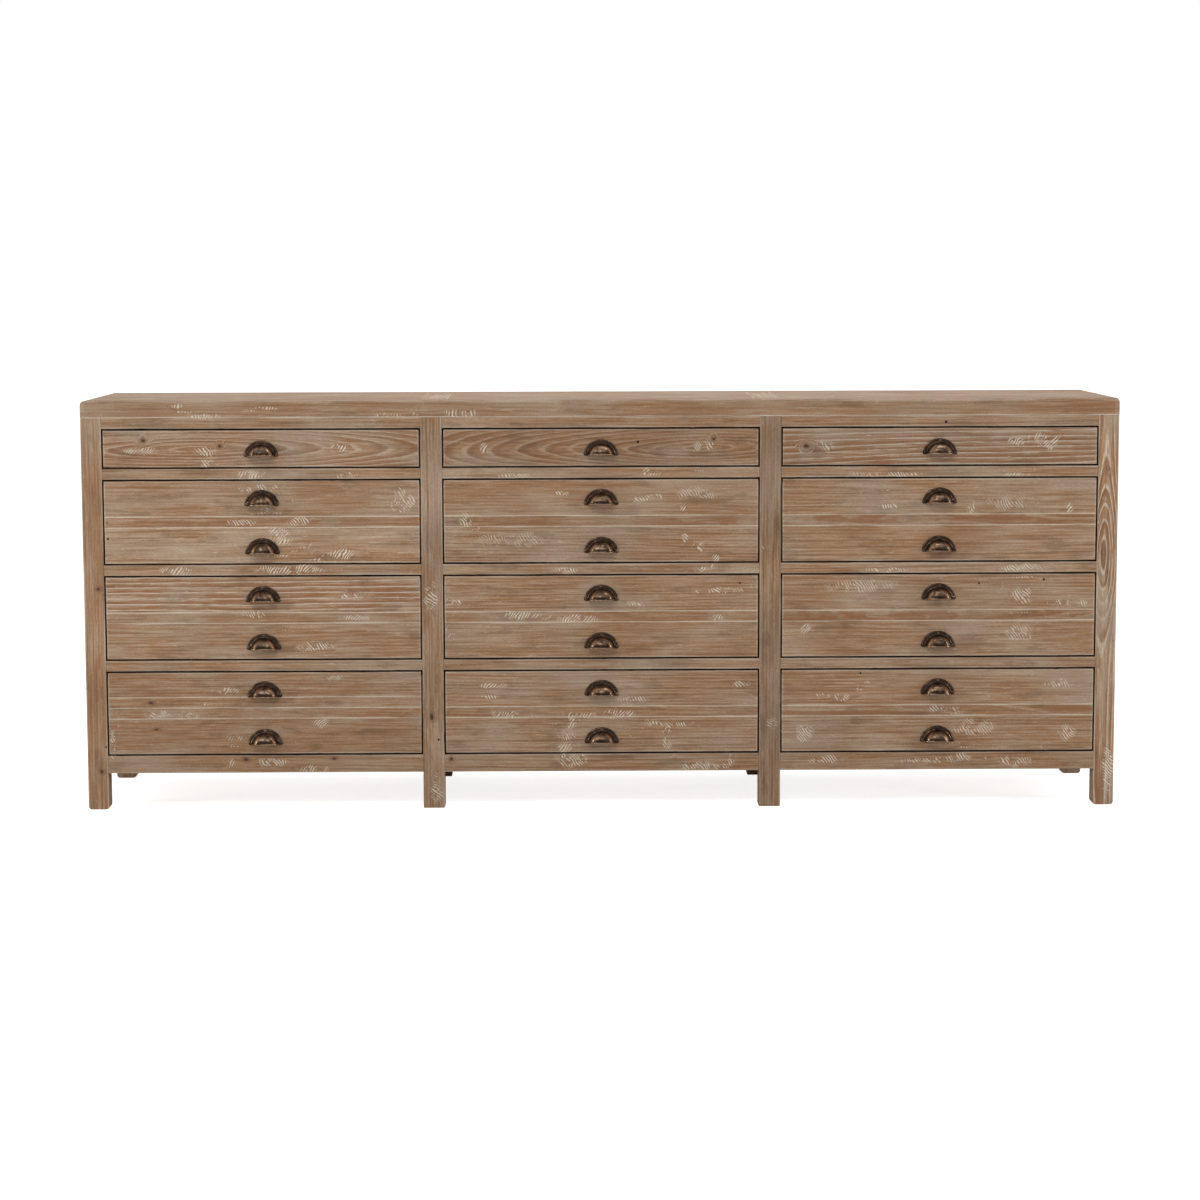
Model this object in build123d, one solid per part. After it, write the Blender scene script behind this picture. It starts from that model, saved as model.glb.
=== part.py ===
"""Apothecary chest: a long low cabinet of limed reclaimed pine with three bays of four drawers.

Frame: +X to the right, +Y to the back, +Z up, millimetres. The origin is on the floor, in the middle
of the chest's length and of its whole depth, cup pulls included. Each bay has one slim drawer over
three deep ones. A deep drawer's front is planked to look like two slim ones, with a cup pull on each.
Eight posts carry the case: front and rear rails are tenoned into them, runners join the rails, and
guides on the side panels keep the drawers straight.
"""

import os

from build123d import *

# Driving sizes of the case
BAY_COUNT = 3
bay_width = 704.0
outer_post_width = 46.0
inner_post_width = 48.0
post_depth = 46.0
case_depth = 458.0
foot_clearance = 82.0
bottom_rail_height = 40.0
rail_height = 24.0
slim_opening_height = 88.0
deep_opening_height = 190.0
deep_drawer_count = 3
top_thickness = 38.0

# Case joinery
front_rail_depth = 70.0
rear_rail_depth = 30.0
tenon_length = 14.0
tenon_height = 12.0
tenon_width = 22.0
tenon_setback = 7.0
joint_clearance = 0.1
post_arris = 0.8
foot_bevel = 2.0
outer_foot_rounding = 6.0

# Top
top_frame_width = 58.0
boards_per_panel = 3
top_end_rounding = 8.0
top_front_rounding = 3.5
top_joint_bevel = 0.8
top_screw_radius = 2.25
top_screw_head_radius = 4.5
top_screw_head_height = 3.0
top_screw_bite = 22.0
top_screw_inset = 150.0
top_screw_setback = 34.0

# Sides, partitions and back
panel_thickness = 18.0
side_panel_recess = 8.0
panel_groove_depth = 8.0
side_rail_height = 60.0
side_board_count = 4
back_panel_thickness = 9.0
back_panel_recess = 1.0

# Runners, guides and stops
runner_width = 30.0
guide_rise = 30.0
stop_width = 40.0
stop_depth = 25.0
stop_height = 5.0
stop_inset = 120.0

# Drawers
front_thickness = 20.0
front_reveal = 2.8
front_arris = 1.2
middle_strip_height = 24.0
box_side_thickness = 12.0
box_back_clearance = 6.0
box_head_room = 12.0
side_clearance = 1.5
running_gap = 0.3
deep_box_fingers = 7
slim_box_fingers = 3
bottom_thickness = 6.0
bottom_rise = 10.0
bottom_groove_depth = 5.0
stop_tab_width = 60.0
stop_tab_thickness = 10.0
stop_tab_rise = 8.0

# Cup pulls
pull_width = 79.0
pull_height = 36.0
flange_thickness = 2.0
flange_band_inset = 2.5
flange_band_rise = 1.0
flange_corner_radius = 4.0
hood_rise = 5.0
hood_radius = 25.0
hood_height = 21.0
hood_straight = 3.0
hood_wall = 1.8
lip_radius = 1.3
lip_stand = 1.0
pull_screw_radius = 1.2
pull_screw_length = 15.0
pull_screw_head_radius = 2.8
pull_screw_head_height = 1.6
pull_screw_top_inset = 5.0
pull_screw_end_inset = 6.0
pull_screw_end_height = 5.0

# Sizes that follow
COLUMNS = ("left", "centre", "right")
overall_width = BAY_COUNT * bay_width + 2 * outer_post_width + (BAY_COUNT - 1) * inner_post_width
pull_projection = hood_radius + lip_stand
front_y = (pull_projection - case_depth) / 2
back_y = front_y + case_depth
rail_back_y = front_y + front_rail_depth
rear_rail_back_y = back_y - back_panel_recess - back_panel_thickness
rear_rail_front_y = rear_rail_back_y - rear_rail_depth
box_front_y = front_y + front_thickness
box_back_y = rear_rail_front_y - box_back_clearance
tab_front_y = box_back_y - box_side_thickness - stop_tab_thickness
drawer_travel = tab_front_y - rail_back_y - running_gap

opening_heights = [deep_opening_height] * deep_drawer_count + [slim_opening_height]
opening_bottoms = []
_level = foot_clearance + bottom_rail_height
for _height in opening_heights:
    opening_bottoms.append(_level)
    _level += _height + rail_height
post_height = _level
overall_height = post_height + top_thickness

# The left edge of each bay, and the left edge of each post
bay_lefts = [
    -overall_width / 2 + outer_post_width + i * (bay_width + inner_post_width) for i in range(BAY_COUNT)
]
post_spans = [(-overall_width / 2, -overall_width / 2 + outer_post_width)]
for _left in bay_lefts[1:]:
    post_spans.append((_left - inner_post_width, _left))
post_spans.append((overall_width / 2 - outer_post_width, overall_width / 2))

# Rows are counted from the top, so row 1 is the slim drawer
ROWS = tuple(range(1, len(opening_heights) + 1))


def opening_of(row):
    """The bottom and top heights of a row's opening."""
    index = len(opening_heights) - row
    return opening_bottoms[index], opening_bottoms[index] + opening_heights[index]


def block(low, high):
    """A rectangular block between its lowest and highest corner."""
    size = [b - a for a, b in zip(low, high)]
    centre = [(a + b) / 2 for a, b in zip(low, high)]
    return Pos(*centre) * Box(*size)


def hole(x, y, z, radius, length, axis):
    """A cylinder for a hole or a shank that starts at a point and runs the way of axis."""
    plane = Plane(origin=(x, y, z), z_dir=axis)
    return plane * Cylinder(radius, length, align=(Align.CENTER, Align.CENTER, Align.MIN))


def eased(solid, radius, pick):
    """The solid with the edges that pick chooses rounded."""
    return fillet(solid.edges().filter_by(pick), radius)


def write(node, solids):
    """Writes one node's solids to its STEP file."""
    export_step(Compound(children=[s.solid() for s in solids]), f"parts/{node}.step")


def rail_levels():
    """The bottom and top height of each rail, from the lowest up."""
    levels = [(foot_clearance, foot_clearance + bottom_rail_height)]
    for bottom, height in zip(opening_bottoms, opening_heights):
        levels.append((bottom + height, bottom + height + rail_height))
    return levels


def tenon(x0, x1, y0, z_middle, clearance=0.0):
    """A rail's stub tenon, or with a clearance the mortise that takes it."""
    low = (x0 - clearance, y0 - clearance, z_middle - tenon_height / 2 - clearance)
    high = (x1 + clearance, y0 + tenon_width + clearance, z_middle + tenon_height / 2 + clearance)
    return block(low, high)


def rail(left, y0, y1, tenon_y, z0, z1):
    """One rail across a bay, with a stub tenon at each end."""
    right = left + bay_width
    middle = (z0 + z1) / 2
    made = block((left, y0, z0), (right, y1, z1))
    made += tenon(left - tenon_length, left, tenon_y, middle)
    made += tenon(right, right + tenon_length, tenon_y, middle)
    return made


front_tenon_y = front_y + tenon_setback
rear_tenon_y = rear_rail_back_y - rear_rail_depth + (rear_rail_depth - tenon_width) / 2


def rail_mortises(span, tenon_y):
    """The mortises in a post for the rails that reach it from either side."""
    cuts = []
    for z0, z1 in rail_levels():
        middle = (z0 + z1) / 2
        if span[0] > -overall_width / 2:
            cuts.append(tenon(span[0], span[0] + tenon_length, tenon_y, middle, joint_clearance))
        if span[1] < overall_width / 2:
            cuts.append(tenon(span[1] - tenon_length, span[1], tenon_y, middle, joint_clearance))
    return cuts


def panel_span(index):
    """Where the side panel or partition behind post number index lies, from left to right."""
    left, right = post_spans[index]
    if index == 0:
        return left + side_panel_recess, left + side_panel_recess + panel_thickness
    if index == len(post_spans) - 1:
        return right - side_panel_recess - panel_thickness, right - side_panel_recess
    middle = (left + right) / 2
    return middle - panel_thickness / 2, middle + panel_thickness / 2


panel_front_y = front_y + post_depth - panel_groove_depth
panel_back_y = back_y - post_depth + panel_groove_depth
panel_bottom = foot_clearance
panel_top = post_height


def post(index, at_front):
    """One post from the floor to the top, mortised for rails and grooved for its panel."""
    left, right = post_spans[index]
    y0 = front_y if at_front else back_y - post_depth
    made = block((left, y0, 0), (right, y0 + post_depth, post_height))
    if index in (0, len(post_spans) - 1):
        made = fillet(made.edges().group_by(Axis.Z)[0].filter_by(Axis.Y), outer_foot_rounding)
    else:
        made = chamfer(made.edges().group_by(Axis.Z)[0], foot_bevel)
    made = eased(made, post_arris, Axis.Z)
    for cut in rail_mortises(post_spans[index], front_tenon_y if at_front else rear_tenon_y):
        made -= cut
    x0, x1 = panel_span(index)
    groove_y = (panel_front_y, front_y + post_depth) if at_front else (back_y - post_depth, panel_back_y)
    made -= block(
        (x0 - joint_clearance, groove_y[0] - joint_clearance, panel_bottom - joint_clearance),
        (x1 + joint_clearance, groove_y[1] + joint_clearance, panel_top),
    )
    return made


def top_screw_places(left):
    """Where the screws that hold the top stand in one bay: pairs in the front and the rear rail."""
    ys = (front_y + top_screw_setback, rear_rail_front_y + rear_rail_depth / 2)
    return [(left + x, y) for x in (top_screw_inset, bay_width - top_screw_inset) for y in ys]


def front_rails(left):
    """The five front rails of one bay. The top one is drilled for the screws that hold the top."""
    rails = [rail(left, front_y, rail_back_y, front_tenon_y, z0, z1) for z0, z1 in rail_levels()]
    for x, y in top_screw_places(left):
        if y < rail_back_y:
            radius = top_screw_radius + joint_clearance
            rails[-1] -= hole(x, y, post_height - rail_height, radius, rail_height, (0, 0, 1))
    return rails


def rear_rails():
    """The rear rails of all bays, at the heights of the front ones."""
    rails = []
    for left in bay_lefts:
        ys = (rear_rail_front_y, rear_rail_back_y, rear_tenon_y)
        bay = [rail(left, *ys, z0, z1) for z0, z1 in rail_levels()]
        for x, y in top_screw_places(left):
            if y > rail_back_y:
                radius = top_screw_radius + joint_clearance
                bay[-1] -= hole(x, y, post_height - rail_height, radius, rail_height, (0, 0, 1))
        rails += bay
    return rails


def side_rail_spans():
    """The bottom and top height of the lower and the upper side rail."""
    return [
        (panel_bottom, panel_bottom + side_rail_height),
        (panel_top - side_rail_height, panel_top),
    ]


def side_rails():
    """A lower and an upper rail on each side, thicker than the boards and flush with the posts."""
    rails = []
    for index in (0, len(post_spans) - 1):
        outside = post_spans[index][0] if index == 0 else post_spans[index][1]
        x0, x1 = panel_span(index)
        inner = x1 if index == 0 else x0
        low_x, high_x = sorted((outside, inner))
        for z0, z1 in side_rail_spans():
            made = block((low_x, front_y + post_depth, z0), (high_x, back_y - post_depth, z1))
            made += block((x0, panel_front_y, z0), (x1, panel_back_y, z1))
            rails.append(made)
    return rails


def side_boards(index):
    """The horizontal boards between the side rails, their ends held in the posts' grooves."""
    x0, x1 = panel_span(index)
    low, high = side_rail_spans()[0][1], side_rail_spans()[1][0]
    step = (high - low) / side_board_count
    boards = []
    for i in range(side_board_count):
        z0 = low + i * step
        board = block((x0, panel_front_y, z0), (x1, panel_back_y, z0 + step))
        boards.append(eased(board, top_joint_bevel, Axis.Y))
    return boards


def partitions():
    """The panels between the bays, held in the inner posts' grooves."""
    made = []
    for index in range(1, len(post_spans) - 1):
        x0, x1 = panel_span(index)
        made.append(block((x0, panel_front_y, panel_bottom), (x1, panel_back_y, panel_top)))
    return made


def back_panels():
    """One panel behind each bay, fixed to the backs of the rear rails."""
    made = []
    for left in bay_lefts:
        low = (left + joint_clearance, rear_rail_back_y, foot_clearance)
        high = (left + bay_width - joint_clearance, rear_rail_back_y + back_panel_thickness, post_height)
        made.append(block(low, high))
    return made


def drawer_runners():
    """The strips that carry the drawers, and the strips over the slim drawers that stop them tipping."""
    strips = []
    for left in bay_lefts:
        tops = [bottom for bottom in opening_bottoms] + [post_height]
        for top in tops:
            for x0 in (left, left + bay_width - runner_width):
                low = (x0, rail_back_y, top - rail_height)
                strips.append(block(low, (x0 + runner_width, rear_rail_front_y, top)))
    return strips


def drawer_guides():
    """The strips beside the runners that fill the space out to the panels and keep the drawers straight."""
    strips = []
    for i, left in enumerate(bay_lefts):
        inner_faces = ((panel_span(i)[1], left), (left + bay_width, panel_span(i + 1)[0]))
        for x0, x1 in inner_faces:
            for bottom in opening_bottoms:
                low = (x0, front_y + post_depth, bottom - rail_height)
                strips.append(block(low, (x1, back_y - post_depth, bottom + guide_rise)))
    return strips


def drawer_stops():
    """The blocks on the rails that a drawer's inner front meets when it is shut."""
    stop_front_y = front_y + front_thickness + box_side_thickness + running_gap
    blocks = []
    for left in bay_lefts:
        for bottom in opening_bottoms:
            for middle in (left + stop_inset, left + bay_width - stop_inset):
                low = (middle - stop_width / 2, stop_front_y, bottom)
                high = (middle + stop_width / 2, stop_front_y + stop_depth, bottom + stop_height)
                blocks.append(block(low, high))
    return blocks


def edge_board(at_front):
    """The full-length board along the front or the rear edge of the top."""
    y0 = front_y if at_front else back_y - top_frame_width
    low = (-overall_width / 2, y0, post_height)
    high = (overall_width / 2, y0 + top_frame_width, overall_height)
    made = block(low, high)
    ends = made.edges().filter_by(Axis.Y).group_by(Axis.Z)[-1]
    made = fillet(ends, top_end_rounding)
    outer = made.edges().filter_by(Axis.X).group_by(Axis.Z)[-1].sort_by(Axis.Y)[0 if at_front else -1]
    made = fillet(outer, top_front_rounding)
    for left in bay_lefts:
        for x, y in top_screw_places(left):
            if y0 < y < y0 + top_frame_width:
                radius = top_screw_radius + joint_clearance
                made -= hole(x, y, post_height, radius, top_screw_bite + joint_clearance, (0, 0, 1))
    return made


field_front_y = front_y + top_frame_width
field_back_y = back_y - top_frame_width


def batten_spans():
    """The cross battens of the top, each flush with the outer face of an inner post."""
    left = post_spans[1][0]
    right = post_spans[-2][1]
    return [(left, left + top_frame_width), (right - top_frame_width, right)]


def top_battens():
    """The cross battens that part the top's panels."""
    made = []
    for x0, x1 in batten_spans():
        made.append(block((x0, field_front_y, post_height), (x1, field_back_y, overall_height)))
    return made


def top_panel(column):
    """The boards of one panel of the top, with bevelled joints and rounded outer ends."""
    spans = batten_spans()
    x0 = -overall_width / 2 if column == 0 else spans[column - 1][1]
    x1 = overall_width / 2 if column == BAY_COUNT - 1 else spans[column][0]
    step = (field_back_y - field_front_y) / boards_per_panel
    boards = []
    for i in range(boards_per_panel):
        y0 = field_front_y + i * step
        board = block((x0, y0, post_height), (x1, y0 + step, overall_height))
        for at_end, end in ((column == 0, 0), (column == BAY_COUNT - 1, -1)):
            if at_end:
                edge = board.edges().filter_by(Axis.Y).group_by(Axis.Z)[-1].sort_by(Axis.X)[end]
                board = fillet(edge, top_end_rounding)
        joints = board.edges().filter_by(Axis.X).group_by(Axis.Z)[-1]
        boards.append(chamfer(joints, top_joint_bevel))
    return boards


def top_screws():
    """The screws that go up through the top rails into the top's edge boards."""
    screws = []
    for left in bay_lefts:
        for x, y in top_screw_places(left):
            head_z = post_height - rail_height - top_screw_head_height
            screw = hole(x, y, head_z, top_screw_head_radius, top_screw_head_height, (0, 0, 1))
            shank_length = top_screw_head_height + rail_height + top_screw_bite
            screw += hole(x, y, head_z, top_screw_radius, shank_length, (0, 0, 1))
            screws.append(screw)
    return screws


def plank_heights(row, column):
    """The bottom and top height of each plank of a drawer's front, from the lowest up.

    A deep front has a strip between two planks. The lowest left one has a second strip over the first.
    """
    low, high = opening_of(row)
    low, high = low + front_reveal, high - front_reveal
    if row == 1:
        return [(low, high)]
    strips = 2 if (row, column) == (len(ROWS), 0) else 1
    first = (low + high - middle_strip_height) / 2
    cuts = [low] + [first + i * middle_strip_height for i in range(strips + 1)] + [high]
    return list(zip(cuts[:-1], cuts[1:]))


def pull_bases(row):
    """The heights of the base lines of the cup pulls on a row's drawers, from the lowest up."""
    low, high = opening_of(row)
    if row == 1:
        return [(low + high) / 2 - pull_height / 2]
    quarter = (high - low - middle_strip_height) / 4
    return [low + quarter - pull_height / 2, high - quarter - pull_height / 2]


def pull_screw_points():
    """Where a cup pull's three screws stand, from the middle of its base line: right and up."""
    end = pull_width / 2 - pull_screw_end_inset
    top = (0.0, pull_height - pull_screw_top_inset)
    return [(-end, pull_screw_end_height), (end, pull_screw_end_height), top]


def drawer_front(row, column):
    """The planks of one drawer's front, eased round the outside and drilled for the pulls' screws."""
    left = bay_lefts[column] + front_reveal
    right = bay_lefts[column] + bay_width - front_reveal
    middle = (left + right) / 2
    spans = plank_heights(row, column)
    planks = []
    for i, (z0, z1) in enumerate(spans):
        plank = block((left, front_y, z0), (right, front_y + front_thickness, z1))
        face_edges = plank.edges().filter_by_position(Axis.Y, front_y - 0.01, front_y + 0.01)
        rounded = list(face_edges.filter_by(Axis.Z))
        level_edges = face_edges.filter_by(Axis.X).sort_by(Axis.Z)
        if i == 0:
            rounded.append(level_edges[0])
        if i == len(spans) - 1:
            rounded.append(level_edges[-1])
        plank = fillet(rounded, front_arris)
        for base in pull_bases(row):
            for x, up in pull_screw_points():
                if z0 < base + up < z1:
                    radius = pull_screw_radius + joint_clearance
                    depth = pull_screw_length + joint_clearance
                    plank -= hole(middle + x, front_y, base + up, radius, depth, (0, 1, 0))
        planks.append(plank)
    return planks


def finger_bands(low, high, count):
    """The heights of a corner joint's fingers, numbered from the lowest up."""
    step = (high - low) / count
    return [(i, low + i * step, low + (i + 1) * step) for i in range(count)]


def drawer_box(row, column):
    """A drawer's box: finger-jointed sides, inner front and back, with the bottom and a stop tab."""
    low, high = opening_of(row)
    base = low + running_gap
    head = high - box_head_room
    fingers = slim_box_fingers if row == 1 else deep_box_fingers
    left = bay_lefts[column] + side_clearance
    right = bay_lefts[column] + bay_width - side_clearance
    y0, y1 = box_front_y, box_back_y
    wall = box_side_thickness
    panel_low = base + bottom_rise
    panel_high = panel_low + bottom_thickness

    inner_front = block((left, y0, base), (right, y0 + wall, head))
    back = block((left, y1 - wall, panel_high), (right, y1, head))
    sides = [
        block((left, y0, base), (left + wall, y1, head)),
        block((right - wall, y0, base), (right, y1, head)),
    ]
    # Even fingers are the sides', odd ones the inner front's and the back's
    corners = ((0, left), (1, right - wall))
    for number, x0 in corners:
        for i, z0, z1 in finger_bands(base, head, fingers):
            corner = block((x0, y0, z0), (x0 + wall, y0 + wall, z1))
            if i % 2:
                sides[number] -= corner
            else:
                inner_front -= corner
        for i, z0, z1 in finger_bands(panel_high, head, fingers):
            corner = block((x0, y1 - wall, z0), (x0 + wall, y1, z1))
            if i % 2:
                sides[number] -= corner
            else:
                back -= corner

    # The bottom slides in under the back, in a groove round the sides and the inner front
    groove_front = y0 + wall - bottom_groove_depth
    groove = block(
        (
            left + wall - bottom_groove_depth - joint_clearance,
            groove_front - joint_clearance,
            panel_low - joint_clearance,
        ),
        (right - wall + bottom_groove_depth + joint_clearance, y1, panel_high + joint_clearance),
    )
    sides = [side - groove for side in sides]
    inner_front -= groove
    bottom = block(
        (left + wall - bottom_groove_depth, groove_front, panel_low),
        (right - wall + bottom_groove_depth, y1, panel_high),
    )

    # The tab stands above the opening and meets the rail's back at full travel
    middle = (left + right) / 2
    tab = block(
        (middle - stop_tab_width / 2, tab_front_y, head - rail_height),
        (middle + stop_tab_width / 2, y1 - wall, high + stop_tab_rise),
    )
    return [*sides, inner_front, back, bottom, tab]


def flange_outline(inset):
    """The pull's back plate as a flat face in its own plane, drawn in by inset all round but the base."""
    half = pull_width / 2 - inset
    arch = ThreePointArc((-half, 0), (0, pull_height - inset), (half, 0))
    face = make_face(arch + Line((half, 0), (-half, 0)))
    radius = flange_corner_radius - inset
    return fillet(face.vertices(), radius) if radius > 0 else face


def hood_shape(radius, height, drop=0.0):
    """The solid under a hood: a round wall, then a quarter ellipse up to the crown. It may drop lower."""
    wall_line = Line((radius, -drop), (radius, hood_straight))
    crown = EllipticalCenterArc((0, hood_straight), radius, height - hood_straight, 0, arc_size=90)
    close = Polyline((0, height), (0, -drop), (radius, -drop))
    profile = Plane.XZ * make_face([wall_line, crown, close])
    return Pos(0, 0, hood_rise) * revolve(profile, Axis.Z, 360)


def cup_pull():
    """One cup pull against a wall at Y = 0, with the middle of its base line at the origin."""
    plate = extrude(Plane.XZ * flange_outline(0), flange_thickness)
    plate += extrude(Plane.XZ * flange_outline(flange_band_inset), flange_thickness + flange_band_rise)
    front_half = block((-pull_width, -pull_width, -pull_height), (pull_width, 0, 2 * pull_height))
    hood = hood_shape(hood_radius, hood_height)
    lip_circle = Pos(hood_radius + lip_stand - lip_radius, hood_rise + lip_radius) * Circle(lip_radius)
    hood += revolve(Plane.XZ * lip_circle, Axis.Z, 360)
    hood &= front_half
    made = plate + hood
    made -= hood_shape(hood_radius - hood_wall, hood_height - hood_wall, 2 * hood_rise)
    for x, z in pull_screw_points():
        made -= hole(x, 0, z, pull_screw_radius + joint_clearance, pull_width, (0, -1, 0))
    return made


def pull_screw():
    """One round-headed screw of a cup pull, seated on the plate's raised band at the origin."""
    seat = flange_thickness + flange_band_rise
    shank = hole(0, pull_screw_length, 0, pull_screw_radius, pull_screw_length + seat, (0, -1, 0))
    rise = pull_screw_head_height
    ball_radius = (pull_screw_head_radius**2 + rise**2) / (2 * rise)
    ball = Pos(0, ball_radius - rise - seat, 0) * Sphere(ball_radius)
    reach = 2 * ball_radius
    head = ball & block((-reach, -reach - seat, -reach), (reach, -seat, reach))
    return shank + head


PULL = cup_pull()
PULL_SCREW = pull_screw()


def cup_pulls(row, column):
    """The cup pulls of one drawer, each with its three screws."""
    middle = bay_lefts[column] + bay_width / 2
    made = []
    for base in pull_bases(row):
        made.append(Pos(middle, front_y, base) * PULL)
        for x, up in pull_screw_points():
            made.append(Pos(middle + x, front_y, base + up) * PULL_SCREW)
    return made


def main():
    os.makedirs("parts", exist_ok=True)
    post_names = ("outer_left", "inner_left", "inner_right", "outer_right")
    for index, name in enumerate(post_names):
        write(f"front_post_{name}", [post(index, True)])
    write("rear_posts", [post(index, False) for index in range(len(post_names))])
    for i, column in enumerate(COLUMNS):
        write(f"front_rails_{column}", front_rails(bay_lefts[i]))
        write(f"top_panel_{column}", top_panel(i))
    write("rear_rails", rear_rails())
    write("side_rails", side_rails())
    write("side_boards_left", side_boards(0))
    write("side_boards_right", side_boards(len(post_spans) - 1))
    write("partitions", partitions())
    write("back_panels", back_panels())
    write("drawer_runners", drawer_runners())
    write("drawer_guides", drawer_guides())
    write("drawer_stops", drawer_stops())
    write("top_edge_front", [edge_board(True)])
    write("top_edge_rear", [edge_board(False)])
    write("top_battens", top_battens())
    write("top_screws", top_screws())
    for i, column in enumerate(COLUMNS):
        for row in ROWS:
            write(f"drawer_front_{column}_{row}", drawer_front(row, i))
            write(f"drawer_box_{column}_{row}", drawer_box(row, i))
            write(f"cup_pulls_{column}_{row}", cup_pulls(row, i))
    print(f"overall {overall_width:g} x {case_depth + pull_projection:g} x {overall_height:g} mm")
    print(f"front face at y {front_y:g}, opening bottoms {opening_bottoms}, posts {post_spans}")
    print(f"drawers slide out {drawer_travel:g} mm")


main()
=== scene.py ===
# %% [markdown]
# # A long apothecary chest in limed pine
#
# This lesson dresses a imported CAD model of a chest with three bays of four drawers. The real one is
# built from pine that was brushed, limed and scuffed on purpose. We keep the CAD pieces that nobody
# sees closely, and work out each visible board and cup pull as a surface with numpy.

import math
from functools import partial

import bmesh
import bpy
import numpy as np
from mathutils import Matrix, Vector


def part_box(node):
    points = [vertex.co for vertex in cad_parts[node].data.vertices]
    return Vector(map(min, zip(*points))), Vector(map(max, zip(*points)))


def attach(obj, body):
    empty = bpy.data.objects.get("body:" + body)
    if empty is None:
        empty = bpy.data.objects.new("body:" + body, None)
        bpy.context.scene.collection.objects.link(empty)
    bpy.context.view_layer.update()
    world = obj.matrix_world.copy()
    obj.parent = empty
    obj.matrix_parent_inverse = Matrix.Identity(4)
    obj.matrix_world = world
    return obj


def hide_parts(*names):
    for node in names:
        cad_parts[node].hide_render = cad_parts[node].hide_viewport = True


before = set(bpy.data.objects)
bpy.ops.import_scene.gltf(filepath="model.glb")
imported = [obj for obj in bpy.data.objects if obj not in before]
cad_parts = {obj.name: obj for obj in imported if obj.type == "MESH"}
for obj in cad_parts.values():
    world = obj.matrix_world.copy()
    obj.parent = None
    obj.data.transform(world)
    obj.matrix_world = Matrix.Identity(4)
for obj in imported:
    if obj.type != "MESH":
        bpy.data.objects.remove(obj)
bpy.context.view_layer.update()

# %% [markdown]
# ## Sizes
#
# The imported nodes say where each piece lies, so most places are read from their boxes. A node that
# holds several boards needs the levels between them too, and these are the same as the CAD's.

# %% Sizes in metres, and levels of rails in millimetres
MM = 0.001
CASE_LOW, CASE_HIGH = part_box("front_post_outer_left")[0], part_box("front_post_outer_right")[1]
LEFT, FRONT = CASE_LOW.x, CASE_LOW.y
RIGHT, POST_TOP = CASE_HIGH.x, CASE_HIGH.z
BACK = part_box("rear_posts")[1].y
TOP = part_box("top_edge_front")[1].z
POST_DEPTH, INNER_POST, TOP_FRAME, RAIL_DEPTH = 46 * MM, 48 * MM, 58 * MM, 70 * MM
SIDE_RAIL, SIDE_BOARD, SIDE_SETBACK = 26 * MM, 18 * MM, 8 * MM
STRIP, GAP, PULL_HEIGHT = 24 * MM, 2.8 * MM, 36 * MM
RAIL_LEVELS = [(82, 122), (312, 336), (526, 550), (740, 764), (852, 876)]
SIDE_LEVELS = [(82, 142), (816, 876)]
COLUMNS, ROWS = ("left", "centre", "right"), (1, 2, 3, 4)
BAYS = []
for column in COLUMNS:
    low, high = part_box(f"drawer_front_{column}_1")
    BAYS.append((low.x - GAP, high.x + GAP))
print("bays:", [tuple(round(x, 4) for x in bay) for bay in BAYS])

# %% [markdown]
# ## Colours
#
# Colours are written as the sRGB hex values that a colour picker shows. Blender's shaders work in
# linear light, so one function turns each hex value to linear.


# %% Turn an sRGB hex value to a linear colour
def colour(hex_value):
    """Linear = s / 12.92 below 0.04045, and ((s + 0.055) / 1.055) to the power 2.4 above."""
    s = np.array([int(hex_value[i : i + 2], 16) for i in (1, 3, 5)]) / 255
    linear = np.where(s <= 0.04045, s / 12.92, ((s + 0.055) / 1.055) ** 2.4)
    return (*linear.tolist(), 1.0)


print("mid grey in linear light:", round(colour("#808080")[0], 3))

# %% [markdown]
# ## A function that adds a shader node
#
# Every material is a tree of nodes, and one small function adds a node of any kind. A new material
# comes with that function, called put, already set to its tree.


# %% Add a node with its settings and links
def add(tree, kind, *values, **settings):
    """A new node. Values fill its shown inputs in order, or one dict fills them by name.

    A value is a number, a colour, an output, or a node, which stands for its first shown output.
    """
    node = tree.nodes.new("ShaderNode" + kind)
    for name, value in settings.items():
        setattr(node, name, value)
    shown = [socket for socket in node.inputs if socket.enabled]
    by_name = values[0] if values and isinstance(values[0], dict) else dict(enumerate(values))
    for key, value in by_name.items():
        socket = node.inputs[key] if isinstance(key, str) else shown[key]
        if isinstance(value, bpy.types.Node):
            value = next(out for out in value.outputs if out.enabled)
        if isinstance(value, bpy.types.NodeSocket):
            tree.links.new(value, socket)
        else:
            socket.default_value = value
    return node


def new_material(name):
    """An empty material, and the function above set to add nodes to it."""
    material = bpy.data.materials.new(name)
    material.use_nodes = True
    material.node_tree.nodes.clear()
    return material, partial(add, material.node_tree)


OPERATIONS = "MULTIPLY", "ADD", "MULTIPLY_ADD", "LENGTH"
TIMES, PLUS, TIMES_PLUS, LENGTH = ({"operation": name} for name in OPERATIONS)
SMOOTH, RGBA = {"interpolation_type": "SMOOTHSTEP"}, {"data_type": "RGBA"}

# %% [markdown]
# ## Smooth unevenness
#
# Hand-worked wood is never quite straight. A sum of a few sine waves with seeded directions and
# phases is smooth, quick on whole arrays, and the same on each run.


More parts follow.
